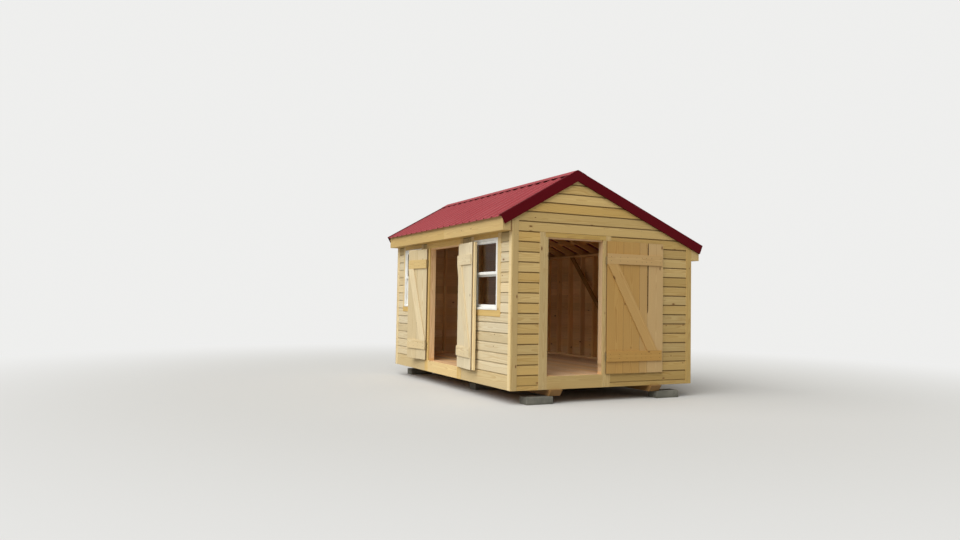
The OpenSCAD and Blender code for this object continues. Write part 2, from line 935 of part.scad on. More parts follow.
module eave_end_caps() {
    color("navajowhite")
        both_ends() {
            eave_end_cap(-1, front_soffit_z);
            eave_end_cap(1, rear_soffit_z);
        }
}

// Door leaves.
// A leaf's own frame has its origin on the hinge pin, +X along the leaf from the pin to the free
// edge, +Y out of the outer face and +Z up, with heights as in the hut. Y = 0 is where the
// ledges meet the boards.

module at_gable_pin(open) {
    translate([gable_pin[0], gable_pin[1], 0])
        rotate([0, 0, open - 90])
            children();
}

module at_right_pin(open) {
    translate([front_door_x + front_pin_x, front_pin_y, 0])
        rotate([0, 0, 180 + open])
            children();
}

module at_left_pin(open) {
    translate([front_door_x - front_pin_x, front_pin_y, 0])
        mirror([0, 1, 0])
            rotate([0, 0, open])
                children();
}

// The same for a hinge, which is alike above and below its middle and so is turned over
module at_left_hinge(open, z) {
    translate([front_door_x - front_pin_x, front_pin_y, z])
        rotate([180, 0, 0])
            rotate([0, 0, open])
                children();
}

module leaf_boards(width, top) {
    slab([hinge_edge, 0, leaf_base], [hinge_edge + width, door_board, top]);
}

// Two ledges and the diagonal brace between them, on the inner face.
// The brace runs down from the pin's side when from_pin is true, and otherwise up from it.
// Its foot stops short of the ledge's end by stop. The leaf's own top edge is at top.
module leaf_ledges(width, from_pin, stop, top) {
    near = hinge_edge;
    far = hinge_edge + width - ledge_setback;
    low_top = leaf_base + ledge_inset + ledge_width;
    high_base = top - top_ledge_inset - ledge_width;
    lean = atan2(high_base - low_top, far - near - stop);
    foot = brace_width / sin(lean);
    top_x = from_pin ? near : far - foot;
    base_x = from_pin ? far - stop - foot : near + stop;
    slab([near, -door_board, low_top - ledge_width], [far, -seat, low_top]);
    slab([near, -door_board, high_base], [far, -seat, high_base + ledge_width]);
    along_y(-door_board, door_board - seat)
        polygon([
            [base_x, low_top + seat], [base_x + foot, low_top + seat],
            [top_x + foot, high_base - seat], [top_x, high_base - seat]
        ]);
}

// The tapered strap with its middle at Z = 0. It is cranked round the leaf's hinged edge to the
// knuckle, which turns on the pin.
module leaf_hinge() {
    half = strap_width / 2;
    edge = hinge_edge - seat;
    difference() {
        union() {
            along_y(door_board + seat, strap_thickness)
                polygon([
                    [edge - strap_thickness, -half], [strap_length, -strap_tip / 2],
                    [strap_length, strap_tip / 2], [edge - strap_thickness, half]
                ]);
            slab([edge - strap_thickness, knuckle_radius - strap_thickness, -half],
                 [edge, door_board + seat + strap_thickness, half]);
            slab([0, knuckle_radius - strap_thickness, -half], [edge, knuckle_radius, half]);
            translate([0, 0, -half])
                cylinder(h = strap_width, r = knuckle_radius, $fn = 48);
        }
        translate([0, 0, -half - cut])
            cylinder(h = strap_width + 2 * cut, r = pin_radius + pin_clearance, $fn = 48);
    }
}

// The plate on the casing, and the two webs that carry the casing's knuckles and the pin
module casing_hinge() {
    knuckle_base = strap_width / 2 + knuckle_gap;
    knuckle_height = plate_height / 2 - knuckle_base;
    web = strap_thickness / 2;
    slab([-plate_width, seat - pin_stand, -plate_height / 2],
         [web, seat - pin_stand + strap_thickness, plate_height / 2]);
    for (base = [knuckle_base, -plate_height / 2]) {
        slab([-web, seat - pin_stand, base], [web, 0, base + knuckle_height]);
        translate([0, 0, base])
            cylinder(h = knuckle_height, r = knuckle_radius, $fn = 48);
    }
    translate([0, 0, -plate_height / 2])
        cylinder(h = plate_height, r = pin_radius, $fn = 48);
}

module hinge_plates() {
    color("dimgray")
        for (z = hinge_heights) {
            at_gable_pin(0)
                translate([0, 0, z])
                    casing_hinge();
            at_right_pin(0)
                translate([0, 0, z])
                    casing_hinge();
            at_left_hinge(0, z)
                casing_hinge();
        }
}

module gable_door_boards() {
    color("burlywood")
        at_gable_pin(gable_open)
            leaf_boards(gable_leaf, gable_leaf_top);
}

module gable_door_ledges() {
    color("wheat")
        at_gable_pin(gable_open)
            leaf_ledges(gable_leaf, true, brace_setback, gable_leaf_top);
}

module gable_door_hinges() {
    color("dimgray")
        for (z = hinge_heights)
            at_gable_pin(gable_open)
                translate([0, 0, z])
                    leaf_hinge();
}

module left_door_boards() {
    color("burlywood")
        at_left_pin(left_open)
            leaf_boards(front_leaf, leaf_top);
}

module left_door_ledges() {
    color("wheat")
        at_left_pin(left_open)
            leaf_ledges(front_leaf, false, 0, leaf_top);
}

module left_door_hinges() {
    color("dimgray")
        for (z = hinge_heights)
            at_left_hinge(left_open, z)
                leaf_hinge();
}

module right_door_boards() {
    color("burlywood")
        at_right_pin(right_open)
            leaf_boards(front_leaf, leaf_top);
}

module right_door_ledges() {
    color("wheat")
        at_right_pin(right_open)
            leaf_ledges(front_leaf, true, 0, leaf_top);
}

module right_door_hinges() {
    color("dimgray")
        for (z = hinge_heights)
            at_right_pin(right_open)
                translate([0, 0, z])
                    leaf_hinge();
}

free_edge = hinge_edge + front_leaf;
strip_face = door_board + seat;

// The cover strip, rebated where it laps the other leaf
module right_door_strip() {
    start = free_edge + strip_lap - strip_width;
    color("navajowhite")
        at_right_pin(right_open)
            along_z(leaf_base, leaf_top - leaf_base)
                polygon([
                    [start, strip_face], [free_edge, strip_face],
                    [free_edge, door_board + leaf_gap],
                    [free_edge + strip_lap, door_board + leaf_gap],
                    [free_edge + strip_lap, strip_face + strip_thickness],
                    [start, strip_face + strip_thickness]
                ]);
}

// The latch: a plate, two posts and a round upright grip
module right_door_latch() {
    grip_y = latch_reach - grip_radius;
    plate_x = latch_plate_width / 2;
    plate_z = latch_plate_height / 2;
    color("silver")
        at_right_pin(right_open)
            translate([free_edge + strip_lap - strip_width / 2, strip_face + strip_thickness + seat,
                       wall_base + latch_height]) {
                slab([-plate_x, 0, -plate_z], [plate_x, strap_thickness, plate_z]);
                for (end = [-1, 1])
                    translate([0, 0, end * (grip_length / 2 - grip_radius)])
                        rotate([-90, 0, 0])
                            cylinder(h = grip_y, r = post_radius, $fn = 24);
                translate([0, grip_y, -grip_length / 2])
                    cylinder(h = grip_length, r = grip_radius, $fn = 32);
            }
}

concrete_blocks();
skids();
floor_joists();
floor_planks();
long_wall_plates();
gable_plates();
long_wall_studs();
gable_studs();
wall_headers();
rear_wall_brace();
rear_siding();
far_gable_siding();
near_gable_side_siding();
near_gable_top_siding();
front_side_siding();
front_top_siding();
corner_boards();
door_casings();
door_heads_and_sills();
window_trims();
window_frames();
window_sashes();
window_glass();
ridge_board();
rafters();
purlins();
front_roof_sheet();
rear_roof_sheet();
ridge_cap();
rake_trims();
fascias();
soffits();
eave_end_caps();
hinge_plates();
gable_door_boards();
gable_door_ledges();
gable_door_hinges();
left_door_boards();
left_door_ledges();
left_door_hinges();
right_door_boards();
right_door_ledges();
right_door_hinges();
right_door_strip();
right_door_latch();
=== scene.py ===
import math

import bpy
import numpy as np
from mathutils import Matrix, Vector


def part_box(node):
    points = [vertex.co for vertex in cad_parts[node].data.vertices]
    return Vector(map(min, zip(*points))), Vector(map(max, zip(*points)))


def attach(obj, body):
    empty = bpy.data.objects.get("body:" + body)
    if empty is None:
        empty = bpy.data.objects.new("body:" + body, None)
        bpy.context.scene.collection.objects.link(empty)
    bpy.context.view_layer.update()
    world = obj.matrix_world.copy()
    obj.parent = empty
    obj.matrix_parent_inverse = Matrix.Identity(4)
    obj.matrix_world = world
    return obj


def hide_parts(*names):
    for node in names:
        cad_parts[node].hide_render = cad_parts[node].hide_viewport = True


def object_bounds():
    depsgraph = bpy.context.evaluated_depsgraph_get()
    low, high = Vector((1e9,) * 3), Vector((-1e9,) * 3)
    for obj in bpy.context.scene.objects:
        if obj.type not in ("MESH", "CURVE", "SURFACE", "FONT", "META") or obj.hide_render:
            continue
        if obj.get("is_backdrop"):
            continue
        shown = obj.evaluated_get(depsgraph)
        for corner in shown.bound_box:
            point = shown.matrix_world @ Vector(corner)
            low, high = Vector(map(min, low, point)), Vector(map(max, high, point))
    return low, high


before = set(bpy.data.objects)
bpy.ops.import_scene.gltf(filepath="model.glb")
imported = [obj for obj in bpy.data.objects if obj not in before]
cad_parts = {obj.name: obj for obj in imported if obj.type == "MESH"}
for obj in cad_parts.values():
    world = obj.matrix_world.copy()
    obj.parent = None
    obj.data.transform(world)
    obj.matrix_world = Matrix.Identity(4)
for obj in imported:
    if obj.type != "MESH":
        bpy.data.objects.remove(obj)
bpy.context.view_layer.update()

rng = np.random.default_rng(11)

# Sizes, in metres, as in the CAD
BASE = 0.191            # underside of the siding
HALF_LENGTH = 2.170     # gables, over the siding
HALF_WIDTH = 1.525      # long walls, over the siding
SIDING = 0.019
FRAME_X = HALF_LENGTH - SIDING
FRAME_Y = HALF_WIDTH - SIDING
TRIM = 0.089
PROUD = 0.006           # trim boards in front of the siding
RIDGE_Y = -0.530
RIDGE_Z = 3.186
FRONT_SLOPE = math.radians(30.0)
REAR_SLOPE = math.radians(22.6)
PURLIN_UNDER = 0.042    # depth below the rib tops, square to the slope
EAVE = 0.153            # outer face of a fascia in front of its wall
DRIP = 0.050
FRONT_SOFFIT = 2.300
REAR_SOFFIT = 2.019
FRONT_JOINT = BASE + 0.2068     # lowest joint of the front wall's siding
BOARD_PITCH = 0.13635
LOW_JOINT = FRONT_JOINT - BOARD_PITCH   # lowest joint of the other walls' siding
MITRE = math.tan((FRONT_SLOPE + REAR_SLOPE) / 2)

WALL_END = HALF_LENGTH - TRIM   # where a long wall's boards meet the corner boards
GABLE_END = HALF_WIDTH - TRIM   # where a gable's boards meet them

X, Y, Z = np.eye(3)
TINY, CLOSE = 1e-6, 1e-4        # lengths too small to matter
ARRIS = 0.002                   # how much a sawn board's edges are eased
END_ARRIS = 0.0015              # and its ends
LEAST_CAP = 0.2                 # the least share of its size that a section keeps where an end is eased


def roof_z(y, depth):
    """Height of the roof plane that lies depth below the rib tops, at the place y across the hut.

    z = ridge - depth / cos(slope) - distance from the ridge * tan(slope), the lower of the two sides."""
    front = RIDGE_Z - depth / math.cos(FRONT_SLOPE) - (RIDGE_Y - y) * math.tan(FRONT_SLOPE)
    rear = RIDGE_Z - depth / math.cos(REAR_SLOPE) - (y - RIDGE_Y) * math.tan(REAR_SLOPE)
    return min(front, rear)


# Making meshes
class Piece:
    """The parts that become one mesh: their points and faces, and three values of the wood at each point.

    grain is the point's place in the log, board is how the board looks (tone, warmth, knottiness), and shade
    is the painted shade of a groove or a joint, which darkens it as the shadow in it would."""

    def __init__(self):
        self.points, self.faces, self.grain, self.board, self.shade = [], [], [], [], []
        self.count = 0

    def add(self, points, faces, grain=None, board=None, shade=None):
        """Adds a part. Its faces number its own points from 0."""
        points = np.asarray(points, float)
        self.points.append(points)
        self.faces += [(face + self.count).tolist() for face in faces]
        self.grain.append(points if grain is None else grain)
        self.board.append(np.broadcast_to(np.zeros(3) if board is None else board, points.shape))
        self.shade.append(np.zeros(len(points)) if shade is None else shade)
        self.count += len(points)

    def make(self, name, material, body, slot, replaces=()):
        """Makes the parts one object that rides on a body and stands for the CAD nodes it replaces."""
        mesh = bpy.data.meshes.new(name)
        mesh.from_pydata(np.concatenate(self.points), [], self.faces)
        for key, kind, field, parts in (("grain", "FLOAT_VECTOR", "vector", self.grain),
                                        ("board", "FLOAT_VECTOR", "vector", self.board),
                                        ("shade", "FLOAT", "value", self.shade)):
            values = np.concatenate(parts).astype(np.float32).ravel()
            mesh.attributes.new(key, kind, "POINT").data.foreach_set(field, values)
        mesh.materials.append(material)
        mesh.update()
        piece = bpy.data.objects.new(name, mesh)
        bpy.context.scene.collection.objects.link(piece)
        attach(piece, body)
        if replaces:
            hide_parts(*replaces)
        return piece


LOG_LENGTH = 30                 # how long the logs are from which all boards are sawn
OFF_PITH, DEPTHS = 0.05, (0.035, 0.12)  # a board's place in its log: to the side of the pith, and over it
KNOT_SPREAD = 0.15


def new_log(tone=0.5, spread=0.2, warm=0.5, knots=0.5):
    """Where a board was sawn from its log, and how its wood looks: tone, warmth and knottiness.

    A look is given as three values from 0 to 1, and tone and warmth differ from board to board by spread."""
    place = np.array([rng.uniform(0, LOG_LENGTH), rng.uniform(-OFF_PITH, OFF_PITH), rng.uniform(*DEPTHS)])
    look = [rng.normal(tone, spread), rng.normal(warm, spread),
            knots + rng.uniform(-KNOT_SPREAD, KNOT_SPREAD)]
    return place, np.clip(look, 0, 1)


def log_of_look(look):
    """A new log's place, with a look that is given and not drawn."""
    return new_log()[0], np.array(look)


def ease(width, thickness, arris):
    """A rectangle in (w, t) whose four corners are cut by arris, going round anticlockwise."""
    cut = min(arris, width / 3, thickness / 3)
    return np.array([[cut, 0], [width - cut, 0], [width, cut], [width, thickness - cut],
                     [width - cut, thickness], [cut, thickness], [0, thickness - cut], [0, cut]])


def carry(piece, profile, place, turn, ends, log=None, arris=END_ARRIS, shade=None):
    """A closed profile carried in a straight line: point = place + s * L + w * W + t * T.

    turn is (L, W, T). Each end is (s, rise per w, rise per t), so that an end may be cut aslant: there s is
    the end's own s + its rise per w * w + its rise per t * t. The first and last rings are drawn in by
    arris, which eases the arris of each end."""
    profile = np.asarray(profile, float)
    after = np.roll(profile, -1, 0)
    area = np.sum(profile[:, 0] * after[:, 1] - after[:, 0] * profile[:, 1])
    order = np.arange(len(profile)) if area > 0 else np.arange(len(profile))[::-1]
    profile = profile[order]
    count = len(profile)
    low, high = profile.min(0), profile.max(0)
    middle, half = (low + high) / 2, np.maximum((high - low) / 2, TINY)
    if arris:
        inner = middle + (profile - middle) * np.maximum(1 - arris / half, LEAST_CAP)
        rings, shifts = np.stack([inner, profile, profile, inner]), [0, arris, -arris, 0]
        side = [0, 0, 1, 1]
    else:
        rings, shifts, side = np.stack([profile, profile]), [0, 0], [0, 1]
    cut = np.array(ends)[side]
    s = cut[:, :1] + np.array(shifts)[:, None] + cut[:, 1:2] * rings[..., 0] + cut[:, 2:3] * rings[..., 1]
    L, W, T = (np.asarray(direction, float) for direction in turn)
    points = np.asarray(place) + s[..., None] * L + rings[..., :1] * W + rings[..., 1:] * T
    spot = np.arange(count)
    after = (spot + 1) % count
    ring = np.arange(len(rings) - 1)[:, None] * count
    quads = np.stack([ring + spot, ring + after, ring + count + after, ring + count + spot], -1)
    quads = quads.reshape(-1, 4)
    caps = [spot[::-1], (len(rings) - 1) * count + spot]
    if np.dot(np.cross(L, W), T) < 0:
        quads, caps = quads[:, ::-1], [cap[::-1] for cap in caps]
    log = log or new_log()
    grain = np.stack([s + log[0][0], rings[..., 0] - middle[0] + log[0][1], rings[..., 1] + log[0][2]], -1)
    # the painted shade at each point of the profile, if it has any
    dark = np.zeros(count) if shade is None else np.asarray(shade)[order]
    piece.add(points.reshape(-1, 3), list(quads) + caps, grain.reshape(-1, 3), log[1],
              np.tile(dark, len(rings)))


def straight(length):
    """The two square ends of a piece carried over a length."""
    return (0, 0, 0), (length, 0, 0)


def box_board(piece, low, high, log=None, arris=ARRIS):
    """A board that fills a box, with eased arrises. Its length lies along the box's longest side."""
    low, high = np.asarray(low, float), np.asarray(high, float)
    size = high - low
    long = int(np.argmax(size))
    rest = [side for side in range(3) if side != long]
    wide, thin = (rest if size[rest[0]] >= size[rest[1]] else rest[::-1])
    turn = np.eye(3)[[long, wide, thin]]
    carry(piece, ease(size[wide], size[thin], arris), low, turn, straight(size[long]), log, arris)


def slanted(piece, place, turn, low, high, width, thickness, log):
    """A flat brace between two points of its lower edge's middle line, with both ends cut level.

    turn gives the plane's level direction, the upward one and the thickness. The line runs at an angle a, so
    an end at a height is cut where s = (height - w * cos(a)) / sin(a)."""
    run = np.array(high) - np.array(low)
    angle = math.atan2(run[1], run[0])
    level, up, out = turn
    L = math.cos(angle) * level + math.sin(angle) * up
    W = -math.sin(angle) * level + math.cos(angle) * up
    lean = -math.cos(angle) / math.sin(angle)
    start = np.asarray(place) + level * low[0] + up * low[1]
    profile = ease(width, thickness, ARRIS) - [width / 2, 0]
    carry(piece, profile, start, (L, W, out), ((0, lean, 0), (run[1] / math.sin(angle), lean, 0)), log, ARRIS)


def solids(node):
    """The boxes of a CAD node's separate solids, each as its low and high corners.

    Points in the same place are made one, and then each solid's points take the lowest number among them."""
    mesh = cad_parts[node].data
    mesh.calc_loop_triangles()
    places = np.empty(len(mesh.vertices) * 3, np.float32)
    mesh.vertices.foreach_get("co", places)
    corners = np.empty(len(mesh.loop_triangles) * 3, np.int32)
    mesh.loop_triangles.foreach_get("vertices", corners)
    spots, index = np.unique(np.round(places.reshape(-1, 3), 5), axis=0, return_inverse=True)
    triangles = index.ravel()[corners.reshape(-1, 3)]
    label = np.arange(len(spots))
    while True:
        lower = label.copy()
        np.minimum.at(lower, triangles.ravel(), np.repeat(label[triangles].min(1), 3))
        if (lower == label).all():
            break
        label = lower
    boxes = [(spots[label == number].min(0), spots[label == number].max(0)) for number in np.unique(label)]
    return sorted(boxes, key=lambda box: box[0].round(4).tolist())


def refinish(node, material):
    """Gives a CAD node, whose shape is right as it is, a better finish."""
    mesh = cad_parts[node].data
    mesh.materials.clear()
    mesh.materials.append(material)


# Shader helpers
def feed(tree, node, inputs):
    """Links each named input of a shader node to a socket, or sets it to a plain value."""
    for key, value in inputs.items():
        if isinstance(value, bpy.types.NodeSocket):
            tree.links.new(value, node.inputs[key])
        else:
            node.inputs[key].default_value = value
    return node


def add_node(tree, kind, inputs=None, **settings):
    """A new shader node with its settings and inputs."""
    node = tree.nodes.new("ShaderNode" + kind)
    for key, value in settings.items():
        setattr(node, key, value)
    return feed(tree, node, inputs or {})


def calc(tree, operation, a, b=0.0):
    """The number that a Math node makes of a and b."""
    return add_node(tree, "Math", {0: a, 1: b}, operation=operation).outputs[0]


def times(tree, a, b):
    """a * b"""
    return calc(tree, "MULTIPLY", a, b)


def scaled(tree, a, b, c):
    """a * b + c"""
    return add_node(tree, "Math", {0: a, 1: b, 2: c}, operation="MULTIPLY_ADD").outputs[0]


def blend(tree, share, a, b, kind="MIX"):
    """Colour a, with a share of colour b mixed into it or multiplied with it."""
    return add_node(tree, "Mix", {0: share, 6: a, 7: b}, data_type="RGBA", blend_type=kind).outputs[2]


def ramp(tree, value, low, high, to_low=0.0, to_high=1.0, kind="SMOOTHSTEP"):
    """A value between low and high, drawn out to lie between to_low and to_high."""
    return add_node(tree, "MapRange", {0: value, 1: low, 2: high, 3: to_low, 4: to_high},
                    interpolation_type=kind).outputs[0]


def stretched(tree, place, x, y, z):
    """A place with each of its directions scaled."""
    return add_node(tree, "VectorMath", {0: place, 1: (x, y, z)}, operation="MULTIPLY").outputs[0]


def noise(tree, place, scale, detail=2.0, rough=0.5):
    """Soft noise from 0 to 1, with scale patches to a metre."""
    inputs = {"Vector": place, "Scale": scale, "Detail": detail, "Roughness": rough}
    return add_node(tree, "TexNoise", inputs).outputs["Fac"]


def object_place(tree):
    """Object coordinates, in metres."""
    return add_node(tree, "TexCoord").outputs["Object"]


def bump(tree, height, strength, distance):
    """The normal of a surface with relief, whose height runs from 0 to 1 over a distance in metres."""
    return add_node(tree, "Bump", {"Height": height, "Strength": strength, "Distance": distance}).outputs[0]


def srgb(red, green, blue):
    """A colour given in the numbers of a screen, 0 to 255, as light values."""
    share = np.array([red, green, blue]) / 255
    light = np.where(share <= 0.04045, share / 12.92, ((share + 0.055) / 1.055) ** 2.4)
    return (*light.tolist(), 1.0)


def new_material(name):
    """A new material with its node tree and its Principled shader."""
    material = bpy.data.materials.new(name)
    material.use_nodes = True
    tree = material.node_tree
    return material, tree, tree.nodes["Principled BSDF"]


def new_group(name, inputs, outputs):
    """A shader node group with named inputs (name: default) and outputs (name: kind)."""
    tree = bpy.data.node_groups.new(name, "ShaderNodeTree")
    for key, value in inputs.items():
        if isinstance(value, float):
            kind = "NodeSocketFloat"
        else:
            kind = "NodeSocketColor" if len(value) == 4 else "NodeSocketVector"
        tree.interface.new_socket(key, in_out="INPUT", socket_type=kind).default_value = value
    for key, kind in outputs.items():
        tree.interface.new_socket(key, in_out="OUTPUT", socket_type="NodeSocket" + kind)
    return tree, tree.nodes.new("NodeGroupInput").outputs, tree.nodes.new("NodeGroupOutput")


# Pine
KNOTS_ALONG, KNOTS_ACROSS = 3.2, 6.5    # places for a knot to a metre of board
WARM_WOOD, COOL_WOOD = (1.0, 0.80, 0.42, 1.0), (1.06, 1.06, 1.12, 1.0)
# painted shade: the colour that grooves and joints are darkened towards, for the shadow in them
PAINTED_JOINT_SHADE = (0.10, 0.05, 0.02, 1.0)


def knot_masks(tree, place, amount):
    """Where a board's knots are: their dark cores, their brown rims and the halos where the rings bend.

    Each place for a knot has one by chance. A point's distance from it, in radii, has a wobble, and a mask
    is full inside one distance and fades out at a greater one."""
    spots = add_node(tree, "TexVoronoi", {"Vector": stretched(tree, place, KNOTS_ALONG, KNOTS_ACROSS, 0.0),
                                          "Scale": 1.0, "Randomness": 0.9}, voronoi_dimensions="2D").outputs
    chance = add_node(tree, "SeparateColor", {0: spots["Color"]}).outputs
    there = calc(tree, "LESS_THAN", chance[0], amount)
    radius = scaled(tree, chance[1], 0.045, 0.03)
    wobble = scaled(tree, noise(tree, place, 60.0), 0.03, -0.015)
    far = calc(tree, "ADD", calc(tree, "DIVIDE", spots["Distance"], radius), wobble)
    return [times(tree, ramp(tree, far, inner, outer, full, 0.0), there)
            for inner, outer, full in ((0.95, 1.15, 1.0), (1.0, 2.4, 0.5), (0.9, 4.5, 1.0))]


def late_wood(tree, place, width, halo):
    """Where the dark late wood of the growth rings is.

    The distance from the pith, sqrt(y * y + z * z), is pushed out by slow noise and round the knots, and
    divided by the rings' width. Its fraction is the time of year: late wood comes slowly and ends at once."""
    part = add_node(tree, "SeparateXYZ", {0: place}).outputs
    squares = calc(tree, "ADD", times(tree, part[1], part[1]), times(tree, part[2], part[2]))
    radius = calc(tree, "SQRT", squares)
    slow = noise(tree, stretched(tree, place, 0.55, 3.0, 3.0), 1.0, 3.0)
    radius = calc(tree, "ADD", radius, times(tree, slow, 0.07))
    radius = calc(tree, "ADD", radius, times(tree, halo, 0.012))
    uneven = noise(tree, stretched(tree, place, 2.0, 14.0, 14.0), 1.0)
    years = calc(tree, "ADD", calc(tree, "DIVIDE", radius, width), times(tree, uneven, 1.6))
    year = calc(tree, "FRACT", years)
    return times(tree, ramp(tree, year, 0.35, 0.85), ramp(tree, year, 0.93, 1.0, 1.0, 0.0))


def sawn_pine():
    """Pine from a log: growth rings round the pith, which is the line y = z = 0 of the grain's own space,
    pushed about by slow noise so that a flat face shows arches, with knots, fine fibres and blotches.

    Colour = early wood with late wood, times the board's warmth, times its tone with fibres and blotches,
    then the knots' rims and cores, and last the painted shade of the grooves and joints, for their shadow."""
    tree, take, give = new_group(
        "sawn_pine",
        {"Grain": (0.0, 0.0, 0.0), "Board": (0.5, 0.5, 0.5), "Shade": 0.0,
         "Early Wood": (0.6, 0.45, 0.25, 1.0), "Late Wood": (0.4, 0.25, 0.1, 1.0),
         "Knot Wood": (0.13, 0.05, 0.02, 1.0), "Ring Width": 0.006, "Ring Strength": 0.5, "Knots": 0.5},
        {"Color": "Color", "Roughness": "Float", "Height": "Float"})
    place = take["Grain"]
    tone, warmth, knottiness = add_node(tree, "SeparateXYZ", {0: take["Board"]}).outputs
    amount = times(tree, times(tree, knottiness, take["Knots"]), 0.9)
    core, rim, halo = knot_masks(tree, place, amount)
    late = late_wood(tree, place, take["Ring Width"], halo)
    fibre = noise(tree, stretched(tree, place, 6.0, 420.0, 420.0), 1.0, 3.0, 0.65)
    blotch = noise(tree, stretched(tree, place, 1.1, 5.0, 5.0), 1.0, 3.0)
    strength = times(tree, take["Ring Strength"], ramp(tree, blotch, 0.3, 0.7, 0.6, 1.15, "LINEAR"))
    colour = blend(tree, times(tree, late, strength), take["Early Wood"], take["Late Wood"])
    colour = blend(tree, 1.0, colour, blend(tree, warmth, COOL_WOOD, WARM_WOOD), "MULTIPLY")
    light = scaled(tree, tone, 0.48, 0.75)
    light = times(tree, light, scaled(tree, fibre, 0.16, 0.92))
    light = times(tree, light, scaled(tree, blotch, 0.24, 0.88))
    grey = add_node(tree, "CombineColor", {0: light, 1: light, 2: light}).outputs[0]
    colour = blend(tree, 1.0, colour, grey, "MULTIPLY")
    colour = blend(tree, rim, colour, blend(tree, 0.5, take["Late Wood"], take["Knot Wood"]))
    colour = blend(tree, times(tree, core, 0.8), colour, take["Knot Wood"])
    # painted shade: the Shade attribute darkens grooves and joints, for the shadow in them
    colour = blend(tree, times(tree, take["Shade"], 0.88), colour, PAINTED_JOINT_SHADE)
    relief = scaled(tree, late, 0.35, times(tree, fibre, 0.5))
    feed(tree, give, {"Color": colour,
                      "Roughness": scaled(tree, late, -0.10, scaled(tree, fibre, 0.12, 0.56)),
                      "Height": scaled(tree, core, -0.6, relief)})
    return tree


PINE = sawn_pine()
KNOT_WOOD = srgb(112, 68, 36)
RING_WIDTH = 0.0065
ROOF_LOG, ROOF_LOOK = (0, 0.3, -2.4), (0.4, 0.6, 0.4)   # the one log of all the roof's own timbers


def pine(name, early, late, knots=0.4, strength=0.45, turned=None):
    """A pine finish. It reads each board's own grain, or Object coordinates turned by an angle about Z."""
    material, tree, shader = new_material(name)
    inputs = {"Early Wood": early, "Late Wood": late, "Knot Wood": KNOT_WOOD, "Ring Width": RING_WIDTH,
              "Ring Strength": strength, "Knots": knots}
    if turned is None:
        for key, socket, field in (("grain", "Grain", "Vector"), ("board", "Board", "Vector"),
                                   ("shade", "Shade", "Fac")):
            inputs[socket] = add_node(tree, "Attribute", attribute_name=key).outputs[field]
    else:
        inputs["Grain"] = add_node(tree, "Mapping", {"Vector": object_place(tree), "Location": ROOF_LOG,
                                                     "Rotation": (0, 0, turned)}).outputs[0]
        inputs["Board"] = ROOF_LOOK
    wood = add_node(tree, "Group", inputs, node_tree=PINE).outputs
    feed(tree, shader, {"Base Color": wood["Color"], "Roughness": wood["Roughness"],
                        "Normal": bump(tree, wood["Height"], 0.25, 0.0008), "Specular IOR Level": 0.35})
    return material


# The front's pines are paler and cooler than the gables', and the gable door's darker too: painted light on
# the lit front, painted shade on the shaded gables.
front_siding_pine = pine("front_siding_pine", srgb(208, 197, 166), srgb(179, 152, 105), 0.5)
gable_siding_pine = pine("gable_siding_pine", srgb(210, 188, 133), srgb(180, 145, 83), 0.55)
trim_pine = pine("trim_pine", srgb(218, 201, 157), srgb(188, 155, 101), 0.35)
front_door_pine = pine("front_door_pine", srgb(215, 203, 169), srgb(183, 153, 104))
gable_door_pine = pine("gable_door_pine", srgb(198, 170, 120), srgb(169, 128, 73), strength=0.5)
framing_pine = pine("framing_pine", srgb(226, 196, 154), srgb(196, 156, 112), 0.5)
skid_pine = pine("skid_pine", srgb(164, 132, 88), srgb(132, 96, 60))
floor_pine = pine("floor_pine", srgb(218, 188, 156), srgb(182, 144, 112))
along_x_pine = pine("purlin_pine", srgb(232, 194, 140), srgb(198, 154, 100), 0.5, turned=0)
along_y_pine = pine("rafter_pine", srgb(232, 194, 140), srgb(198, 154, 100), 0.5, turned=math.pi / 2)


# Metal, vinyl, glass and concrete
def coated_steel(name, colour, dusty, gloss):
    """Painted sheet steel: dust and fading in soft patches that follow Object coordinates."""
    material, tree, shader = new_material(name)
    place = object_place(tree)
    patch = ramp(tree, noise(tree, place, 1.7, 4.0, 0.6), 0.35, 0.75)
    share = times(tree, patch, scaled(tree, noise(tree, place, 45.0, 3.0, 0.6), 0.5, 0.35))
    feed(tree, shader, {"Base Color": blend(tree, share, colour, dusty),
                        "Roughness": scaled(tree, share, 0.15, 0.5), "Specular IOR Level": gloss,
                        "Normal": bump(tree, noise(tree, place, 9.0), 0.05, 0.002)})
    return material


def hinge_metal(name, colour, bright, metallic, roughness):
    """Hinge and latch metal: fine scratches and paler rubbed patches on Object coordinates."""
    material, tree, shader = new_material(name)
    place = object_place(tree)
    scratch = noise(tree, stretched(tree, place, 300.0, 300.0, 30.0), 1.0, 3.0, 0.7)
    rubbed = ramp(tree, noise(tree, place, 38.0, 4.0, 0.6), 0.5, 0.72)
    feed(tree, shader, {"Base Color": blend(tree, times(tree, rubbed, 0.7), colour, bright),
                        "Roughness": scaled(tree, scratch, 0.25, roughness - 0.1), "Metallic": metallic,
                        "Normal": bump(tree, scratch, 0.15, 0.0004)})
    return material


def vinyl():
    """White vinyl with a faint film of dust in soft patches."""
    material, tree, shader = new_material("white_vinyl_frame")
    place = object_place(tree)
    film = ramp(tree, noise(tree, place, 6.0, 4.0, 0.65), 0.4, 0.8)
    feed(tree, shader, {"Base Color": blend(tree, film, srgb(242, 242, 238), srgb(226, 224, 216)),
                        "Roughness": scaled(tree, film, 0.15, 0.32),
                        "Normal": bump(tree, noise(tree, place, 120.0), 0.04, 0.0005)})
    return material


def glazing():
    """Clear glass with a faint grey tint and a trace of smears in its roughness."""
    material, tree, shader = new_material("pane_glass")
    smear = noise(tree, stretched(tree, object_place(tree), 9.0, 9.0, 3.0), 1.0, 3.0, 0.6)
    smear = ramp(tree, smear, 0.5, 0.8)
    feed(tree, shader, {"Base Color": blend(tree, smear, srgb(206, 200, 190), srgb(214, 210, 202)),
                        "Roughness": scaled(tree, smear, 0.05, 0.01), "Transmission Weight": 1.0, "IOR": 1.2})
    return material


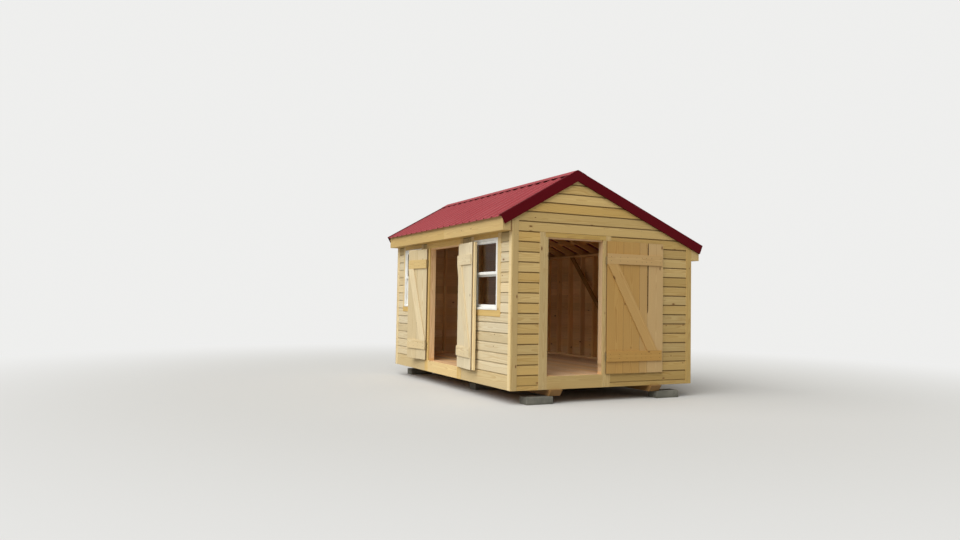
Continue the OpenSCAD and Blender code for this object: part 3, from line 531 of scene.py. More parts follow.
def cast_concrete():
    """Cast concrete: fine aggregate, pores, and darkening towards the ground."""
    material, tree, shader = new_material("cast_concrete")
    place = object_place(tree)
    fine = noise(tree, place, 90.0, 5.0, 0.7)
    patch = noise(tree, place, 7.0, 4.0, 0.6)
    cells = add_node(tree, "TexVoronoi", {"Vector": place, "Scale": 110.0}).outputs["Distance"]
    pores = ramp(tree, cells, 0.08, 0.22, 1.0, 0.0)
    darker_near_ground = ramp(tree, add_node(tree, "SeparateXYZ", {0: place}).outputs[2], 0.0, 0.045, 0.55, 0.0)
    colour = blend(tree, ramp(tree, patch, 0.3, 0.7), srgb(102, 102, 94), srgb(132, 131, 121))
    colour = blend(tree, times(tree, fine, 0.45), colour, srgb(108, 106, 98))
    colour = blend(tree, darker_near_ground, colour, srgb(88, 86, 76))
    colour = blend(tree, times(tree, pores, 0.6), colour, srgb(78, 76, 70))
    feed(tree, shader, {"Base Color": colour, "Roughness": 0.9,
                        "Normal": bump(tree, scaled(tree, pores, -0.8, fine), 0.6, 0.002)})
    return material


roof_red = coated_steel("roof_red", srgb(156, 63, 69), srgb(162, 76, 81), 0.25)
trim_red = coated_steel("trim_red", srgb(90, 2, 15), srgb(98, 8, 21), 0.12)
hinge_steel = hinge_metal("hinge_steel", srgb(158, 140, 104), srgb(184, 168, 134), 0.6, 0.5)
screw_steel = hinge_metal("screw_steel", srgb(84, 66, 44), srgb(120, 100, 74), 0.6, 0.5)
latch_steel = hinge_metal("latch_steel", srgb(176, 176, 174), srgb(206, 206, 204), 1.0, 0.35)
white = vinyl()

# Siding
EASED = 0.0015          # how much the edges of a siding board are eased
BEVEL, REBATE = 0.024, 0.014    # from a board's upper edge down to where its bevel and its rebate start
# A siding board's outer side, from its lower edge to its upper one: height, distance out, and painted shade,
# which darkens the groove as its shadow would
FACE_H = np.array([0.0, EASED, BOARD_PITCH - BEVEL, BOARD_PITCH - REBATE, BOARD_PITCH])
FACE_T = [0.0175, 0.019, 0.019, 0.0095, 0.0085]
# painted shade for the groove's shadow: on the outer side, then at the inner side's edges by the joints
FACE_PAINTED_SHADE = [0.5, 0.0, 0.0, 0.6, 1.0]
BACK_PAINTED_SHADE = [0.6, 0.0, 0.0, 0.6]
SIDING_SPREAD = 0.11    # how much the siding boards differ
NARROW_GROOVE_SHADE = 0.4     # how much painted shade the groove over a narrow lowest board has, against the others
WARM_IS_DARK = 0.5      # how much darker a warmer row is
MOST_ROWS = 30          # more rows than any wall has


def between(values, low, high, margin=TINY):
    """low, those of the values that lie between low and high, and high, in rising order."""
    values = np.unique(np.asarray(values, float))
    return np.concatenate([[low], values[(values > low + margin) & (values < high - margin)], [high]])


def siding_profile(low, high, height):
    """The part between two heights of a siding board's section, in (h, t), and the painted shade at each
    point.

    The outer side is flat with a bevel and a rebate at the top, so that the board above overhangs a groove.
    Both sides are straight between their named heights: up the outer side, and down the inner one."""
    outer = FACE_H + np.array([0, 0, 1, 1, 1]) * (height - BOARD_PITCH)
    inner = [0, EASED, height - EASED, height]
    rise, fall = between(outer, low, high), between(inner, low, high)[::-1]
    h = np.concatenate([rise, fall])
    t = np.concatenate([np.interp(rise, outer, FACE_T), np.interp(fall, inner, [EASED, 0, 0, EASED])])
    dark = np.concatenate([np.interp(rise, outer, FACE_PAINTED_SHADE), np.interp(fall, inner, BACK_PAINTED_SHADE)])
    return np.stack([h, t], -1), dark


def siding_rows(first, top):
    """The heights between which a wall's siding boards lie, from its foot to its top."""
    joints = [first + number * BOARD_PITCH for number in range(MOST_ROWS)]
    return [BASE] + [z for z in joints if z < top] + [top]


def clad(piece, place, across, out, spans, top, breaks, first=LOW_JOINT, tone=0.5, warm=0.4, knots=0.5,
         groove=1.0, under_eave=0.0, foot=0.15, beyond=0.0):
    """Lays siding boards over a wall, row by row, with the lowest joint at the height first.

    across and out are the wall's own directions. spans(z, z) gives the pairs of places that the wall fills
    just above one height and just below another. breaks are the heights where that changes, where a row is
    made in two parts from the same log, without a groove between them. A part's end runs from one place to
    the other in a straight line: s = place at its foot + (z - foot) * (place at its top - that) / height.
    groove scales the grooves' painted shade, which stands for their shadow. under_eave and foot are how much
    warmer the row under the front eave and the lowest row are; under the eave that is painted shade, for the
    eave's shadow.
    beyond is how much darker the boards beyond an opening are: painted shade, for light that falls off along
    the wall."""
    rows = siding_rows(first, top)
    for low, high in zip(rows[:-1], rows[1:]):
        height = first - BASE if low == BASE else BOARD_PITCH
        # a warmer row is also darker; under the front eave this is painted shade, for the eave's shadow
        warmer = foot * (low == BASE) + under_eave * (low < FRONT_SOFFIT < high)
        log = new_log(tone - WARM_IS_DARK * warmer, SIDING_SPREAD, warm + warmer, knots)
        # how much painted shade this row's grooves get, less over a narrow lowest board
        depth = NARROW_GROOVE_SHADE * groove if low == BASE and first == LOW_JOINT else groove
        corner = np.asarray(place) + Z * low
        cuts = between(breaks, low, high, CLOSE)
        for z0, z1 in zip(cuts[:-1], cuts[1:]):
            section, dark = siding_profile(z0 - low, z1 - low, height)
            for number, ((left0, left1), (right0, right1)) in enumerate(spans(z0 + TINY, z1 - TINY)):
                left, right = (left1 - left0) / (z1 - z0), (right1 - right0) / (z1 - z0)
                ends = ((left0 - left * (z0 - low), left, 0), (right0 - right * (z0 - low), right, 0))
                # painted shade: each span after the first, beyond an opening, is darker, for light that falls
                # off along the wall
                own = (log[0], log[1] - [beyond * number, 0, 0])
                carry(piece, section, corner, (across, Z, out), ends, own, 0, dark * depth)


def line_inside(piece, out, material):
    """Gives a wall's boards a second finish on the faces that look into the hut, where normal * out is
    nearer to -1 than to 0."""
    faces = piece.data.polygons
    normals = np.empty(len(faces) * 3, np.float32)
    faces.foreach_get("normal", normals)
    piece.data.materials.append(material)
    faces.foreach_set("material_index", (normals.reshape(-1, 3) @ out < -0.5).astype(np.int32))


# What each wall's boards fill, as pairs of places along it at two heights
side_boxes = solids("near_gable_side_siding")
front_boxes = solids("front_side_siding")
trim_boxes = solids("window_trims")
RIDGE_GAP = 0.0005      # the gables' boards end this far beside the ridge's line, just under its point
GABLE_TOP = roof_z(RIDGE_Y + RIDGE_GAP, PURLIN_UNDER)
GABLE_BREAKS = [roof_z(-GABLE_END, PURLIN_UNDER), roof_z(GABLE_END, PURLIN_UNDER)]
GABLE_DOORWAY = (side_boxes[0][1][1], side_boxes[1][0][1])
GABLE_DOORWAY_HEAD = side_boxes[0][1][2]
FRONT_DOORWAY = (front_boxes[0][1][0], front_boxes[1][0][0])
WINDOW_TRIM = [(low[0], high[0], low[2]) for low, high in trim_boxes]


def gable_edges(z):
    """The two places across a gable where a height meets the underside of the purlins or the corner boards.

    y = ridge -+ (the plane's height at the ridge - z) / tan(slope), kept between the corner boards."""
    front = RIDGE_Y - (RIDGE_Z - PURLIN_UNDER / math.cos(FRONT_SLOPE) - z) / math.tan(FRONT_SLOPE)
    rear = RIDGE_Y + (RIDGE_Z - PURLIN_UNDER / math.cos(REAR_SLOPE) - z) / math.tan(REAR_SLOPE)
    return max(front, -GABLE_END), min(rear, GABLE_END)


def near_gable(z0, z1):
    """The whole gable over its doorway, and what is left on each side of the doorway."""
    (a0, b0), (a1, b1) = gable_edges(z0), gable_edges(z1)
    if z1 < GABLE_DOORWAY_HEAD:
        return [((a0, a1), (GABLE_DOORWAY[0],) * 2), ((GABLE_DOORWAY[1],) * 2, (b0, b1))]
    return [((a0, a1), (b0, b1))]


def far_gable(z0, z1):
    """The whole gable, seen from the other side."""
    (a0, b0), (a1, b1) = gable_edges(z0), gable_edges(z1)
    return [((-b0, -b1), (-a0, -a1))]


def front_wall(z0, z1):
    """What the doorway and the windows' trims leave of the wall, below the soffit, and all of it above."""
    holes = [FRONT_DOORWAY] + [(left, right) for left, right, foot in WINDOW_TRIM if foot < z0 + CLOSE]
    if z1 >= FRONT_SOFFIT + CLOSE:
        holes = []
    marks = [-WALL_END] + [edge for hole in sorted(holes) for edge in hole] + [WALL_END]
    return [((left, left), (right, right)) for left, right in zip(marks[::2], marks[1::2])]


def rear_wall(z0, z1):
    """The whole wall between its corner boards."""
    return [((-WALL_END, -WALL_END), (WALL_END, WALL_END))]


# Nails
NAIL = [(0.0035, 0.0), (0.0035, 0.0003), (0.0025, 0.0006)]     # a head's (radius, height)
NAIL_UP, NAIL_DOWN = 0.030, 0.038       # how far a siding board's nails are from its lower and upper edge
NAIL_IN = 0.02                          # the least distance of a nail from a wall's edge
TRIM_NAIL_IN, TRIM_NAIL_PITCH = 0.05, 0.45      # a trim board's first nail from its end, and its nails' pitch
TRIM_NAILS = (0.25, 0.75)               # the rows of nails, as shares of a trim board's width
WALL_DEPTH = 0.1                        # a wall's studs have their middle less than this inside its siding
STUDS = solids("long_wall_studs") + solids("gable_studs")


def heads(piece, centres, across, out, profile, sides=8):
    """Fastener heads, each a profile of (radius, height) turned about the direction out.

    point = centre + radius * (cos a * across + sin a * up) + height * out, for each of a few angles a."""
    centres = np.asarray(centres, float).reshape(-1, 1, 1, 3)
    angle = np.arange(sides) * 2 * math.pi / sides
    up = np.cross(out, across)
    circle = np.cos(angle)[:, None] * across + np.sin(angle)[:, None] * up
    radius, height = np.array(profile).T
    rings = radius[:, None, None] * circle + height[:, None, None] * out
    first = np.arange(len(centres))[:, None, None] * len(profile) * sides
    ring, spot = np.arange(len(profile) - 1)[:, None] * sides, np.arange(sides)
    here, after = first + ring + spot, first + ring + (spot + 1) % sides
    quads = np.stack([here, after, after + sides, here + sides], -1).reshape(-1, 4)
    feet = first[:, 0] + spot[::-1]
    tops = first[:, 0] + (len(profile) - 1) * sides + spot
    piece.add((centres + rings).reshape(-1, 3), list(quads) + list(feet) + list(tops))


def nail_siding(piece, place, across, out, spans, first, top):
    """Two nail heads where each board of a wall crosses a stud's middle line, s along the wall.

    point = place + s * across + z * Z + SIDING * out, for a height z near each of the board's two edges."""
    level = np.dot(place, out)
    lines = sorted({round(float(np.dot(low + high, across)) / 2, 3) for low, high in STUDS
                    if np.dot(low + high, out) / 2 > level - WALL_DEPTH})
    rows = siding_rows(first, top)
    spots = []
    for low, high in zip(rows[:-1], rows[1:]):
        for z in (low + NAIL_UP, high - NAIL_DOWN):
            sides = spans(z, z) if low < z < high else []
            spots += [np.asarray(place) + across * s + Z * z + out * SIDING for s in lines
                      if any(left[0] + NAIL_IN < s < right[0] - NAIL_IN for left, right in sides)]
    heads(piece, spots, across, out, NAIL)


def nail_trim(piece, low, high):
    """Pairs of nail heads along the outer face of a trim board that fills a box, spaced evenly along it."""
    low, high = np.minimum(low, high), np.maximum(low, high)
    size = high - low
    thin, wide, long = np.argsort(size)
    side = 1 if low[thin] + high[thin] > 0 else -1
    along = np.linspace(TRIM_NAIL_IN, size[long] - TRIM_NAIL_IN, 2 + int(size[long] / TRIM_NAIL_PITCH))
    s, w = np.meshgrid(along, TRIM_NAILS)
    spots = np.empty((s.size, 3))
    spots[:, long] = low[long] + s.ravel()
    spots[:, wide] = low[wide] + size[wide] * w.ravel()
    spots[:, thin] = (high if side > 0 else low)[thin]
    heads(piece, spots, np.eye(3)[long], side * np.eye(3)[thin], NAIL)


# Looks of the gables' boards and of the long walls' boards. The gables' boards are warmer and the front's
# paler and cooler: painted shade on the shaded gables and painted light on the lit front.
GABLE_LOOK = dict(tone=0.44, warm=0.5, knots=0.5)
# painted shade: the near gable's boards beyond its doorway are darker, for light that falls off towards the
# rear
NEAR_GABLE_LOOK = dict(GABLE_LOOK, beyond=0.3)
# the front's grooves get half the painted shade, and its row under the eave is warmer and darker: painted
# shade for the eave's shadow
FRONT_LOOK = dict(first=FRONT_JOINT, tone=0.57, warm=0.22, knots=0.5, groove=0.5, under_eave=0.5, foot=0.42)
FRONT_BREAKS = [FRONT_SOFFIT] + [foot for left, right, foot in WINDOW_TRIM]
WALLS = (
    ("near_gable_boards", (FRAME_X, 0, 0), Y, X, near_gable, GABLE_TOP, GABLE_BREAKS + [GABLE_DOORWAY_HEAD],
     NEAR_GABLE_LOOK, gable_siding_pine, ("near_gable_side_siding", "near_gable_top_siding")),
    ("far_gable_boards", (-FRAME_X, 0, 0), -Y, -X, far_gable, GABLE_TOP, GABLE_BREAKS,
     GABLE_LOOK, gable_siding_pine, ("far_gable_siding",)),
    ("front_wall_boards", (0, -FRAME_Y, 0), X, -Y, front_wall, front_boxes[0][1][2], FRONT_BREAKS,
     FRONT_LOOK, front_siding_pine, ("front_side_siding", "front_top_siding")),
    ("rear_wall_boards", (0, FRAME_Y, 0), -X, Y, rear_wall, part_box("rear_siding")[1][2], [],
     GABLE_LOOK, gable_siding_pine, ("rear_siding",)),
)


def side_walls():
    """The siding of the four walls, with its nail heads."""
    nails = Piece()
    for name, place, across, out, spans, top, breaks, look, wood, nodes in WALLS:
        boards = Piece()
        clad(boards, place, across, out, spans, top, breaks, **look)
        line_inside(boards.make(name, wood, "hut", "pine_siding", nodes), out, framing_pine)
        nail_siding(nails, place, across, out, spans, look.get("first", LOW_JOINT), top)
    nails.make("siding_nail_heads", hinge_steel, "hut", "hinge_steel")


side_walls()

# Framing and floor, with the looks of their boards
FRAMING = dict(tone=0.6, spread=0.1, warm=0.66, knots=0.5)
JAMB = dict(tone=0.78, spread=0.03, warm=0.2, knots=0.4)
GABLE_JAMB_STUD = dict(JAMB, tone=0.22)
FRONT_DOOR_X, GABLE_DOOR_Y = -0.070, -0.524     # middles of the doorways
HALF_STUD = 0.019
FRONT_JAMB = 0.575 + HALF_STUD          # from a doorway's middle to the middle of its jamb studs
GABLE_JAMB = 0.450 + HALF_STUD
BESIDE = 0.03                           # a stud this near to that place is a jamb stud
TWIN_STUD = 0.06                        # a thicker stud is two boards side by side
HALF_JOINT = 0.0008                     # half of the joint between two boards of the floor or of a leaf
TRIM_ARRIS = 0.003                      # planed boards' edges are eased more
PLANKS = 22
FLOOR_LOOK = dict(tone=0.6, spread=0.15, warm=0.5, knots=0.5)
# painted shade: the rear wall's brace is dark, for the shadow along it
SHADED_BRACE_LOOK = dict(tone=0.0, spread=0.02, warm=1.0, knots=0.3)
BRACE_CUT = 0.126                       # about how long the level ends of the wall's brace are


def framing(name, node, split=math.inf):
    """A CAD node's boxes as sawn lumber. A box thicker than split is made as two boards side by side."""
    piece = Piece()
    for low, high in solids(node):
        thin = int(np.argsort(high - low)[0])
        parts = [(low, high)]
        if (high - low)[thin] > split:
            first, second = high.copy(), low.copy()
            first[thin] = second[thin] = ((low + high) / 2)[thin]
            parts = [(low, first), (second, high)]
        for start, end in parts:
            jamb = end[1] < 0 and abs(abs((start[0] + end[0]) / 2 - FRONT_DOOR_X) - FRONT_JAMB) < BESIDE
            look = JAMB if jamb or node == "wall_headers" else FRAMING
            box_board(piece, start, end, new_log(**look))
    piece.make(name, framing_pine, "hut", "framing_lumber", (node,))


def gable_studs():
    """The gables' studs, whose tops are cut to the roof's slope: length = height - slope * width where the
    roof rises along Y, as the stud's lower corner comes first there."""
    studs = Piece()
    for low, high in solids("gable_studs"):
        in_front = high[1] < RIDGE_Y + HALF_STUD + CLOSE
        slope = math.tan(FRONT_SLOPE) if in_front else -math.tan(REAR_SLOPE)
        length = high[2] - low[2] - (slope * (high[1] - low[1]) if slope > 0 else 0)
        jamb = low[0] > 0 and abs(abs((low[1] + high[1]) / 2 - GABLE_DOOR_Y) - GABLE_JAMB) < BESIDE
        carry(studs, ease(high[1] - low[1], high[0] - low[0], ARRIS), (high[0], low[1], low[2]), (Z, Y, -X),
              ((0, 0, 0), (length, slope, 0)), new_log(**(GABLE_JAMB_STUD if jamb else FRAMING)))
    studs.make("gable_stud_lumber", framing_pine, "hut", "framing_lumber", ("gable_studs",))


def wall_brace():
    """The flat brace in the rear wall. The length of its level ends is its width / sin(its angle)."""
    low, high = np.array(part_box("rear_wall_brace"))
    foot = TRIM / math.sin(math.atan2(high[2] - low[2], (high[0] - low[0]) - BRACE_CUT))
    brace = Piece()
    slanted(brace, (0, high[1], 0), (X, Z, -Y), (high[0] - foot / 2, low[2]), (low[0] + foot / 2, high[2]),
            TRIM, high[1] - low[1], new_log(**SHADED_BRACE_LOOK))
    brace.make("rear_wall_brace_board", skid_pine, "hut", "framing_lumber", ("rear_wall_brace",))


def floor_boards():
    """The floor's boards, which share its width evenly, with a thin joint between each two."""
    low, high = np.array(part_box("floor_planks"))
    edges = low[1] + (high[1] - low[1]) * np.arange(PLANKS + 1) / PLANKS
    planks = Piece()
    for near, far in zip(edges[:-1], edges[1:]):
        box_board(planks, (low[0], near + HALF_JOINT, low[2]), (high[0], far - HALF_JOINT, high[2]),
                  new_log(**FLOOR_LOOK), TRIM_ARRIS)
    planks.make("floor_plank_boards", floor_pine, "hut", "floor_boards", ("floor_planks",))


framing("floor_joist_lumber", "floor_joists")
framing("long_wall_plate_lumber", "long_wall_plates")
framing("gable_plate_lumber", "gable_plates")
framing("long_wall_stud_lumber", "long_wall_studs", TWIN_STUD)
framing("wall_header_lumber", "wall_headers")
framing("ridge_board_lumber", "ridge_board")
gable_studs()
wall_brace()
floor_boards()
refinish("purlins", along_x_pine)
refinish("rafters", along_y_pine)

# Trim, with the looks of its boards
# the front's trim is paler and cooler and the gables' warmer and darker: painted light and painted shade, as
# with the siding
FRONT_TRIM = dict(tone=0.56, spread=0.1, warm=0.22, knots=0.45)
# painted shade: the front casings are warmer and darker, for the shadow of the open leaves and of the eave
FRONT_CASING = dict(tone=0.45, spread=0.05, warm=0.8, knots=0.3)
# painted shade: the front head is warmer, for the eave's shadow
FRONT_HEAD = dict(tone=0.6, spread=0.03, warm=0.9, knots=0.3)
FRONT_SILL = dict(tone=0.6, spread=0.03, warm=0.5, knots=0.4)
GABLE_TRIM = dict(tone=0.14, spread=0.08, warm=0.6, knots=0.45)
GABLE_HEAD = dict(tone=0.05, spread=0.03, warm=1.0, knots=0.2)
GABLE_SILL = dict(tone=0.0, spread=0.02, warm=0.72, knots=0.4)
# painted shade: the gables' rear corner boards are darker, for light that falls off towards that end
REAR_CORNER = dict(tone=0.0, spread=0.02, warm=0.85, knots=0.45)
WINDOW_SILL = dict(tone=0.35, spread=0.05, warm=0.9, knots=0.3)
WINDOW_SIDE = dict(tone=0.45, spread=0.05, warm=0.3, knots=0.3)
# painted shade: the window heads are warmer, for the eave's shadow
WINDOW_HEAD = dict(tone=0.5, spread=0.05, warm=0.8, knots=0.3)
# painted shade: the soffit boards are darker and warmer, for the shade under the eave
SOFFIT_BOARD = dict(tone=0.3, spread=0.05, warm=1.0, knots=0.2)
# Each fascia is two boards: the first one's look, and how much paler and cooler the second is
FASCIA_TONE, FASCIA_WARM, FASCIA_PALER = 0.12, 0.75, 0.1
FRONT_FASCIA_JOINT, REAR_FASCIA_JOINT = 0.256, -0.61
FASCIA_GAP = 0.0015
EAVE_END_LAP = 0.0015   # how far an eave's end board laps the corner board's eased edge
TALL = 1.0              # a longer board of a doorway stands upright
HEAD_LEVEL = 2.0        # a level board of a doorway above this is its head
WINDOW_TRIM_ARRIS = 0.0025
EAVE_END_ARRIS = 0.0008


def doorway_look(low, high):
    """The look of a board round a doorway: warmer and darker on the gable than in the front wall, painted
    shade on the shaded gable and painted light on the lit front.
    """
    gable, upright, head = high[0] > HALF_LENGTH, high[2] - low[2] > TALL, low[2] > HEAD_LEVEL
    if upright:
        return GABLE_TRIM if gable else FRONT_CASING
    if head:
        return GABLE_HEAD if gable else FRONT_HEAD
    return GABLE_SILL if gable else FRONT_SILL


def trim_boards(name, node, look=None):
    """A CAD node's boxes as trim boards, in one look or in a doorway's."""
    piece = Piece()
    for low, high in solids(node):
        box_board(piece, low, high, new_log(**(look or doorway_look(low, high))), TRIM_ARRIS)
    piece.make(name, trim_pine, "hut", "pine_trim", (node,))


def corner_boards(nails):
    """Each corner's two boards: a wide one on the gable, cut to the roof's slope, and one on the long wall
    up to the soffit. Their outer faces stand PROUD in front of the siding."""
    corners = Piece()
    outer, inner = HALF_WIDTH + PROUD, GABLE_END
    wide = ease(outer - inner, SIDING + PROUD, TRIM_ARRIS)
    narrow = ease(TRIM - SIDING, SIDING + PROUD, TRIM_ARRIS)
    for end in (-1, 1):
        for side, slope, soffit in ((-1, FRONT_SLOPE, FRONT_SOFFIT), (1, REAR_SLOPE, REAR_SOFFIT)):
            top = roof_z(side * outer, PURLIN_UNDER)
            carry(corners, wide, (end * FRAME_X, side * outer, BASE), (Z, -side * Y, end * X),
                  ((0, 0, 0), (top - BASE, math.tan(slope), 0)),
                  new_log(**(REAR_CORNER if side > 0 else GABLE_TRIM)), TRIM_ARRIS)
            carry(corners, narrow, (end * FRAME_X, side * FRAME_Y, BASE), (Z, -end * X, side * Y),
                  straight(soffit - BASE), new_log(**FRONT_TRIM), TRIM_ARRIS)
            nail_trim(nails, (end * HALF_LENGTH, side * inner, BASE),
                      (end * (HALF_LENGTH + PROUD), side * outer, soffit))
            nail_trim(nails, (end * WALL_END, side * HALF_WIDTH, BASE), (end * FRAME_X, side * outer, soffit))
    nails.make("trim_nail_heads", hinge_steel, "hut", "hinge_steel")
    corners.make("corner_trim_boards", trim_pine, "hut", "pine_trim", ("corner_boards",))


def window_surrounds():
    """Four flat boards round each window: a sill over the whole width, two sides on it, a head between."""
    surround = Piece()
    for (low, high), (inner_low, inner_high) in zip(trim_boxes, solids("window_frames")):
        x0, x1, z0, z1 = inner_low[0], inner_high[0], inner_low[2], inner_high[2]
        for look, start, end in ((WINDOW_SILL, low, (high[0], high[1], z0)),
                                 (WINDOW_SIDE, (low[0], low[1], z0), (x0, high[1], high[2])),
                                 (WINDOW_SIDE, (x1, low[1], z0), high),
                                 (WINDOW_HEAD, (x0, low[1], z1), (x1, high[1], high[2]))):
            box_board(surround, start, end, new_log(**look), WINDOW_TRIM_ARRIS)
    surround.make("window_trim_boards", trim_pine, "hut", "pine_trim", ("window_trims",))


def fascias():
    """Each eave's fascia in two lengths, with a thin gap at the joint and at the ends."""
    eaves = Piece()
    for low, high in solids("fascias"):
        joint = FRONT_FASCIA_JOINT if low[1] < 0 else REAR_FASCIA_JOINT
        for start, end, paler in ((low[0], joint, 0.0), (joint, high[0], FASCIA_PALER)):
            box_board(eaves, (start + FASCIA_GAP, low[1], low[2]), (end - FASCIA_GAP, high[1], high[2]),
                      new_log(FASCIA_TONE + paler, 0.02, FASCIA_WARM - paler, 0.2))
    eaves.make("fascia_boards", trim_pine, "hut", "pine_trim", ("fascias",))


def eave_ends():
    """The boards that close the eaves' ends: four corners in (y, z), from the soffit to the purlins."""
    caps = Piece()
    for end in (-1, 1):
        for side, soffit in ((-1, FRONT_SOFFIT), (1, REAR_SOFFIT)):
            near, far = side * (HALF_WIDTH + PROUD - EAVE_END_LAP), side * (HALF_WIDTH + EAVE - SIDING)
            shape = np.array([[near, soffit], [far, soffit], [far, roof_z(far, PURLIN_UNDER)],
                              [near, roof_z(near, PURLIN_UNDER)]])
            carry(caps, shape, (end * FRAME_X, 0, 0), (end * X, Y, Z), straight(SIDING + PROUD),
                  new_log(**GABLE_TRIM), EAVE_END_ARRIS)
    caps.make("eave_end_boards", trim_pine, "hut", "pine_trim", ("eave_end_caps",))


trim_boards("door_casing_boards", "door_casings")
trim_boards("door_head_and_sill_boards", "door_heads_and_sills")
trim_boards("soffit_boards", "soffits", SOFFIT_BOARD)
trim_nails = Piece()
for low, high in solids("door_casings") + solids("door_heads_and_sills"):
    nail_trim(trim_nails, low, high)
corner_boards(trim_nails)
window_surrounds()
fascias()
eave_ends()

# Windows, whose sections are in (inset, out)
FRAME_SECTION = [(0, -0.068), (0.032, -0.068), (0.032, -0.004), (0.029, 0.000), (0.026, 0.006),
                 (0.0245, 0.0105), (0.023, 0.012), (0.0015, 0.012), (0, 0.0105)]
SASH_SECTION = [(0, -0.026), (0.040, -0.026), (0.040, -0.010), (0.038, -0.007), (0.032, -0.0025), (0.030, 0),
                (0.0015, 0), (0, -0.0015)]


def carry_round(piece, low, high, profile, y):
    """A closed profile carried round a rectangle in the front wall, mitred at its corners.

    profile is (inset, out): a point lies inset from the rectangle's sides and out in front of y."""
    profile = np.asarray(profile, float)
    count = len(profile)
    corners = np.array([[low[0], low[2], 1, 1], [high[0], low[2], -1, 1], [high[0], high[2], -1, -1],
                        [low[0], high[2], 1, -1]])
    x = corners[:, :1] + corners[:, 2:3] * profile[:, 0]
    z = corners[:, 1:2] + corners[:, 3:4] * profile[:, 0]
    points = np.stack([x, np.broadcast_to(y - profile[:, 1], x.shape), z], -1).reshape(-1, 3)
    corner, spot = np.arange(4)[:, None] * count, np.arange(count)
    following, after = (np.arange(4)[:, None] + 1) % 4 * count, (spot + 1) % count
    quads = np.stack([corner + spot, corner + after, following + after, following + spot], -1).reshape(-1, 4)
    piece.add(points, list(quads[:, ::-1]))


def windows():
    """The frames, whose section starts at the siding's face, the sashes in them, and the panes' glass."""
    frames, sashes = Piece(), Piece()
    for low, high in solids("window_frames"):
        carry_round(frames, low, high, FRAME_SECTION, -HALF_WIDTH)
    for low, high in solids("window_sashes"):
        carry_round(sashes, low, high, SASH_SECTION, low[1])
    frames.make("window_frame_vinyl", white, "hut", "white_vinyl", ("window_frames",))
    sashes.make("window_sash_vinyl", white, "hut", "white_vinyl", ("window_sashes",))
    refinish("window_glass", glazing())


windows()

# Roof
RIDGE = np.array([0, RIDGE_Y, RIDGE_Z])
STEEL = 0.0012          # thickness of the folded sheets
RIB_BAYS = 19
RIB_FOOT = 0.046        # width of a rib at its foot
RIB_TOP = 0.020
RIB_HEIGHT = 0.020
RIB_SPAN = 2 * (HALF_LENGTH + PROUD) - RIB_FOOT
RIB_PITCH = RIB_SPAN / RIB_BAYS
RIB_FIRST = -RIB_SPAN / 2
# The rounded edge of a rib's top, and a low bead in a pan: (distance from its middle line, height)
RIB_EDGE = ((RIB_TOP / 2 + 0.001, -0.0012), (RIB_TOP / 2 - 0.0015, 0))
BEADS = (0.36, 0.64)    # the beads' places, as shares of a pan
BEAD = ((0.012, 0.0), (0.006, 0.0012))
CAP_TOP, CAP_LOW = 0.0063, 0.0036       # the ridge cap's wing and hem, above the rib tops
CAP_WING, CAP_HEM = 0.150, 0.014
CAP_START = 0.012       # where a wing's section starts, from the ridge
CAP_FOLD, HEM_SLANT = 0.002, 0.0005     # the widths of the wing's fold and of the hem's slant
SCREW = [(0.0075, 0.0), (0.0075, 0.0008), (0.0046, 0.0012), (0.0046, 0.0042), (0.0038, 0.0050)]
SCREW_SIDES = 6
CAP_SCREW_IN = 0.03     # from the cap's lower edge up to its screws
BEYOND_CAP = 0.02       # a purlin's screws show where it lies this far below that edge
SHEET_GAP, RAKE_GAP = 0.0005, 0.0003    # from the ridge's mitre to a sheet and to a rake trim
RAKE_BACK = HALF_LENGTH + PROUD
RAKE_FACE, RAKE_FLANGE = 0.135, 0.040   # height of a rake trim's face, and width of its flange
RAKE_OUT, RAKE_UP = 0.025, 0.003        # its face in front of its back, and its flange above the rib tops
CAP_HALF = RAKE_BACK + RAKE_OUT
FOLD, SOFT = 0.0015, 0.001              # its upper fold and its lower ones
HEM, HEM_UP = 0.010, 0.0006             # the flange's hem: its width, and its foot above the rib tops
RAKE_SECTION = np.array([
    (-RAKE_FLANGE, RAKE_UP), (RAKE_OUT - FOLD, RAKE_UP), (RAKE_OUT, RAKE_UP - FOLD),
    (RAKE_OUT, -RAKE_FACE + SOFT), (RAKE_OUT - SOFT, -RAKE_FACE), (SOFT, -RAKE_FACE),
    (SOFT, -RAKE_FACE + STEEL), (RAKE_OUT - FOLD, -RAKE_FACE + STEEL), (RAKE_OUT - FOLD, RAKE_UP - STEEL),
    (-RAKE_FLANGE + HEM, RAKE_UP - STEEL), (-RAKE_FLANGE + HEM, HEM_UP), (-RAKE_FLANGE, HEM_UP)])


class RoofSide:
    """A roof side: its directions down the slope and square out of it, and the length of its sheet."""

    def __init__(self, name, side, slope, reach):
        self.name, self.side = name, side
        self.down = np.array([0, side * math.cos(slope), -math.sin(slope)])
        self.out = np.array([0, side * math.sin(slope), math.cos(slope)])
        self.run = (reach + EAVE + DRIP) / math.cos(slope)


ROOF_SIDES = (RoofSide("front", -1, FRONT_SLOPE, RIDGE_Y + HALF_WIDTH),
              RoofSide("rear", 1, REAR_SLOPE, HALF_WIDTH - RIDGE_Y))


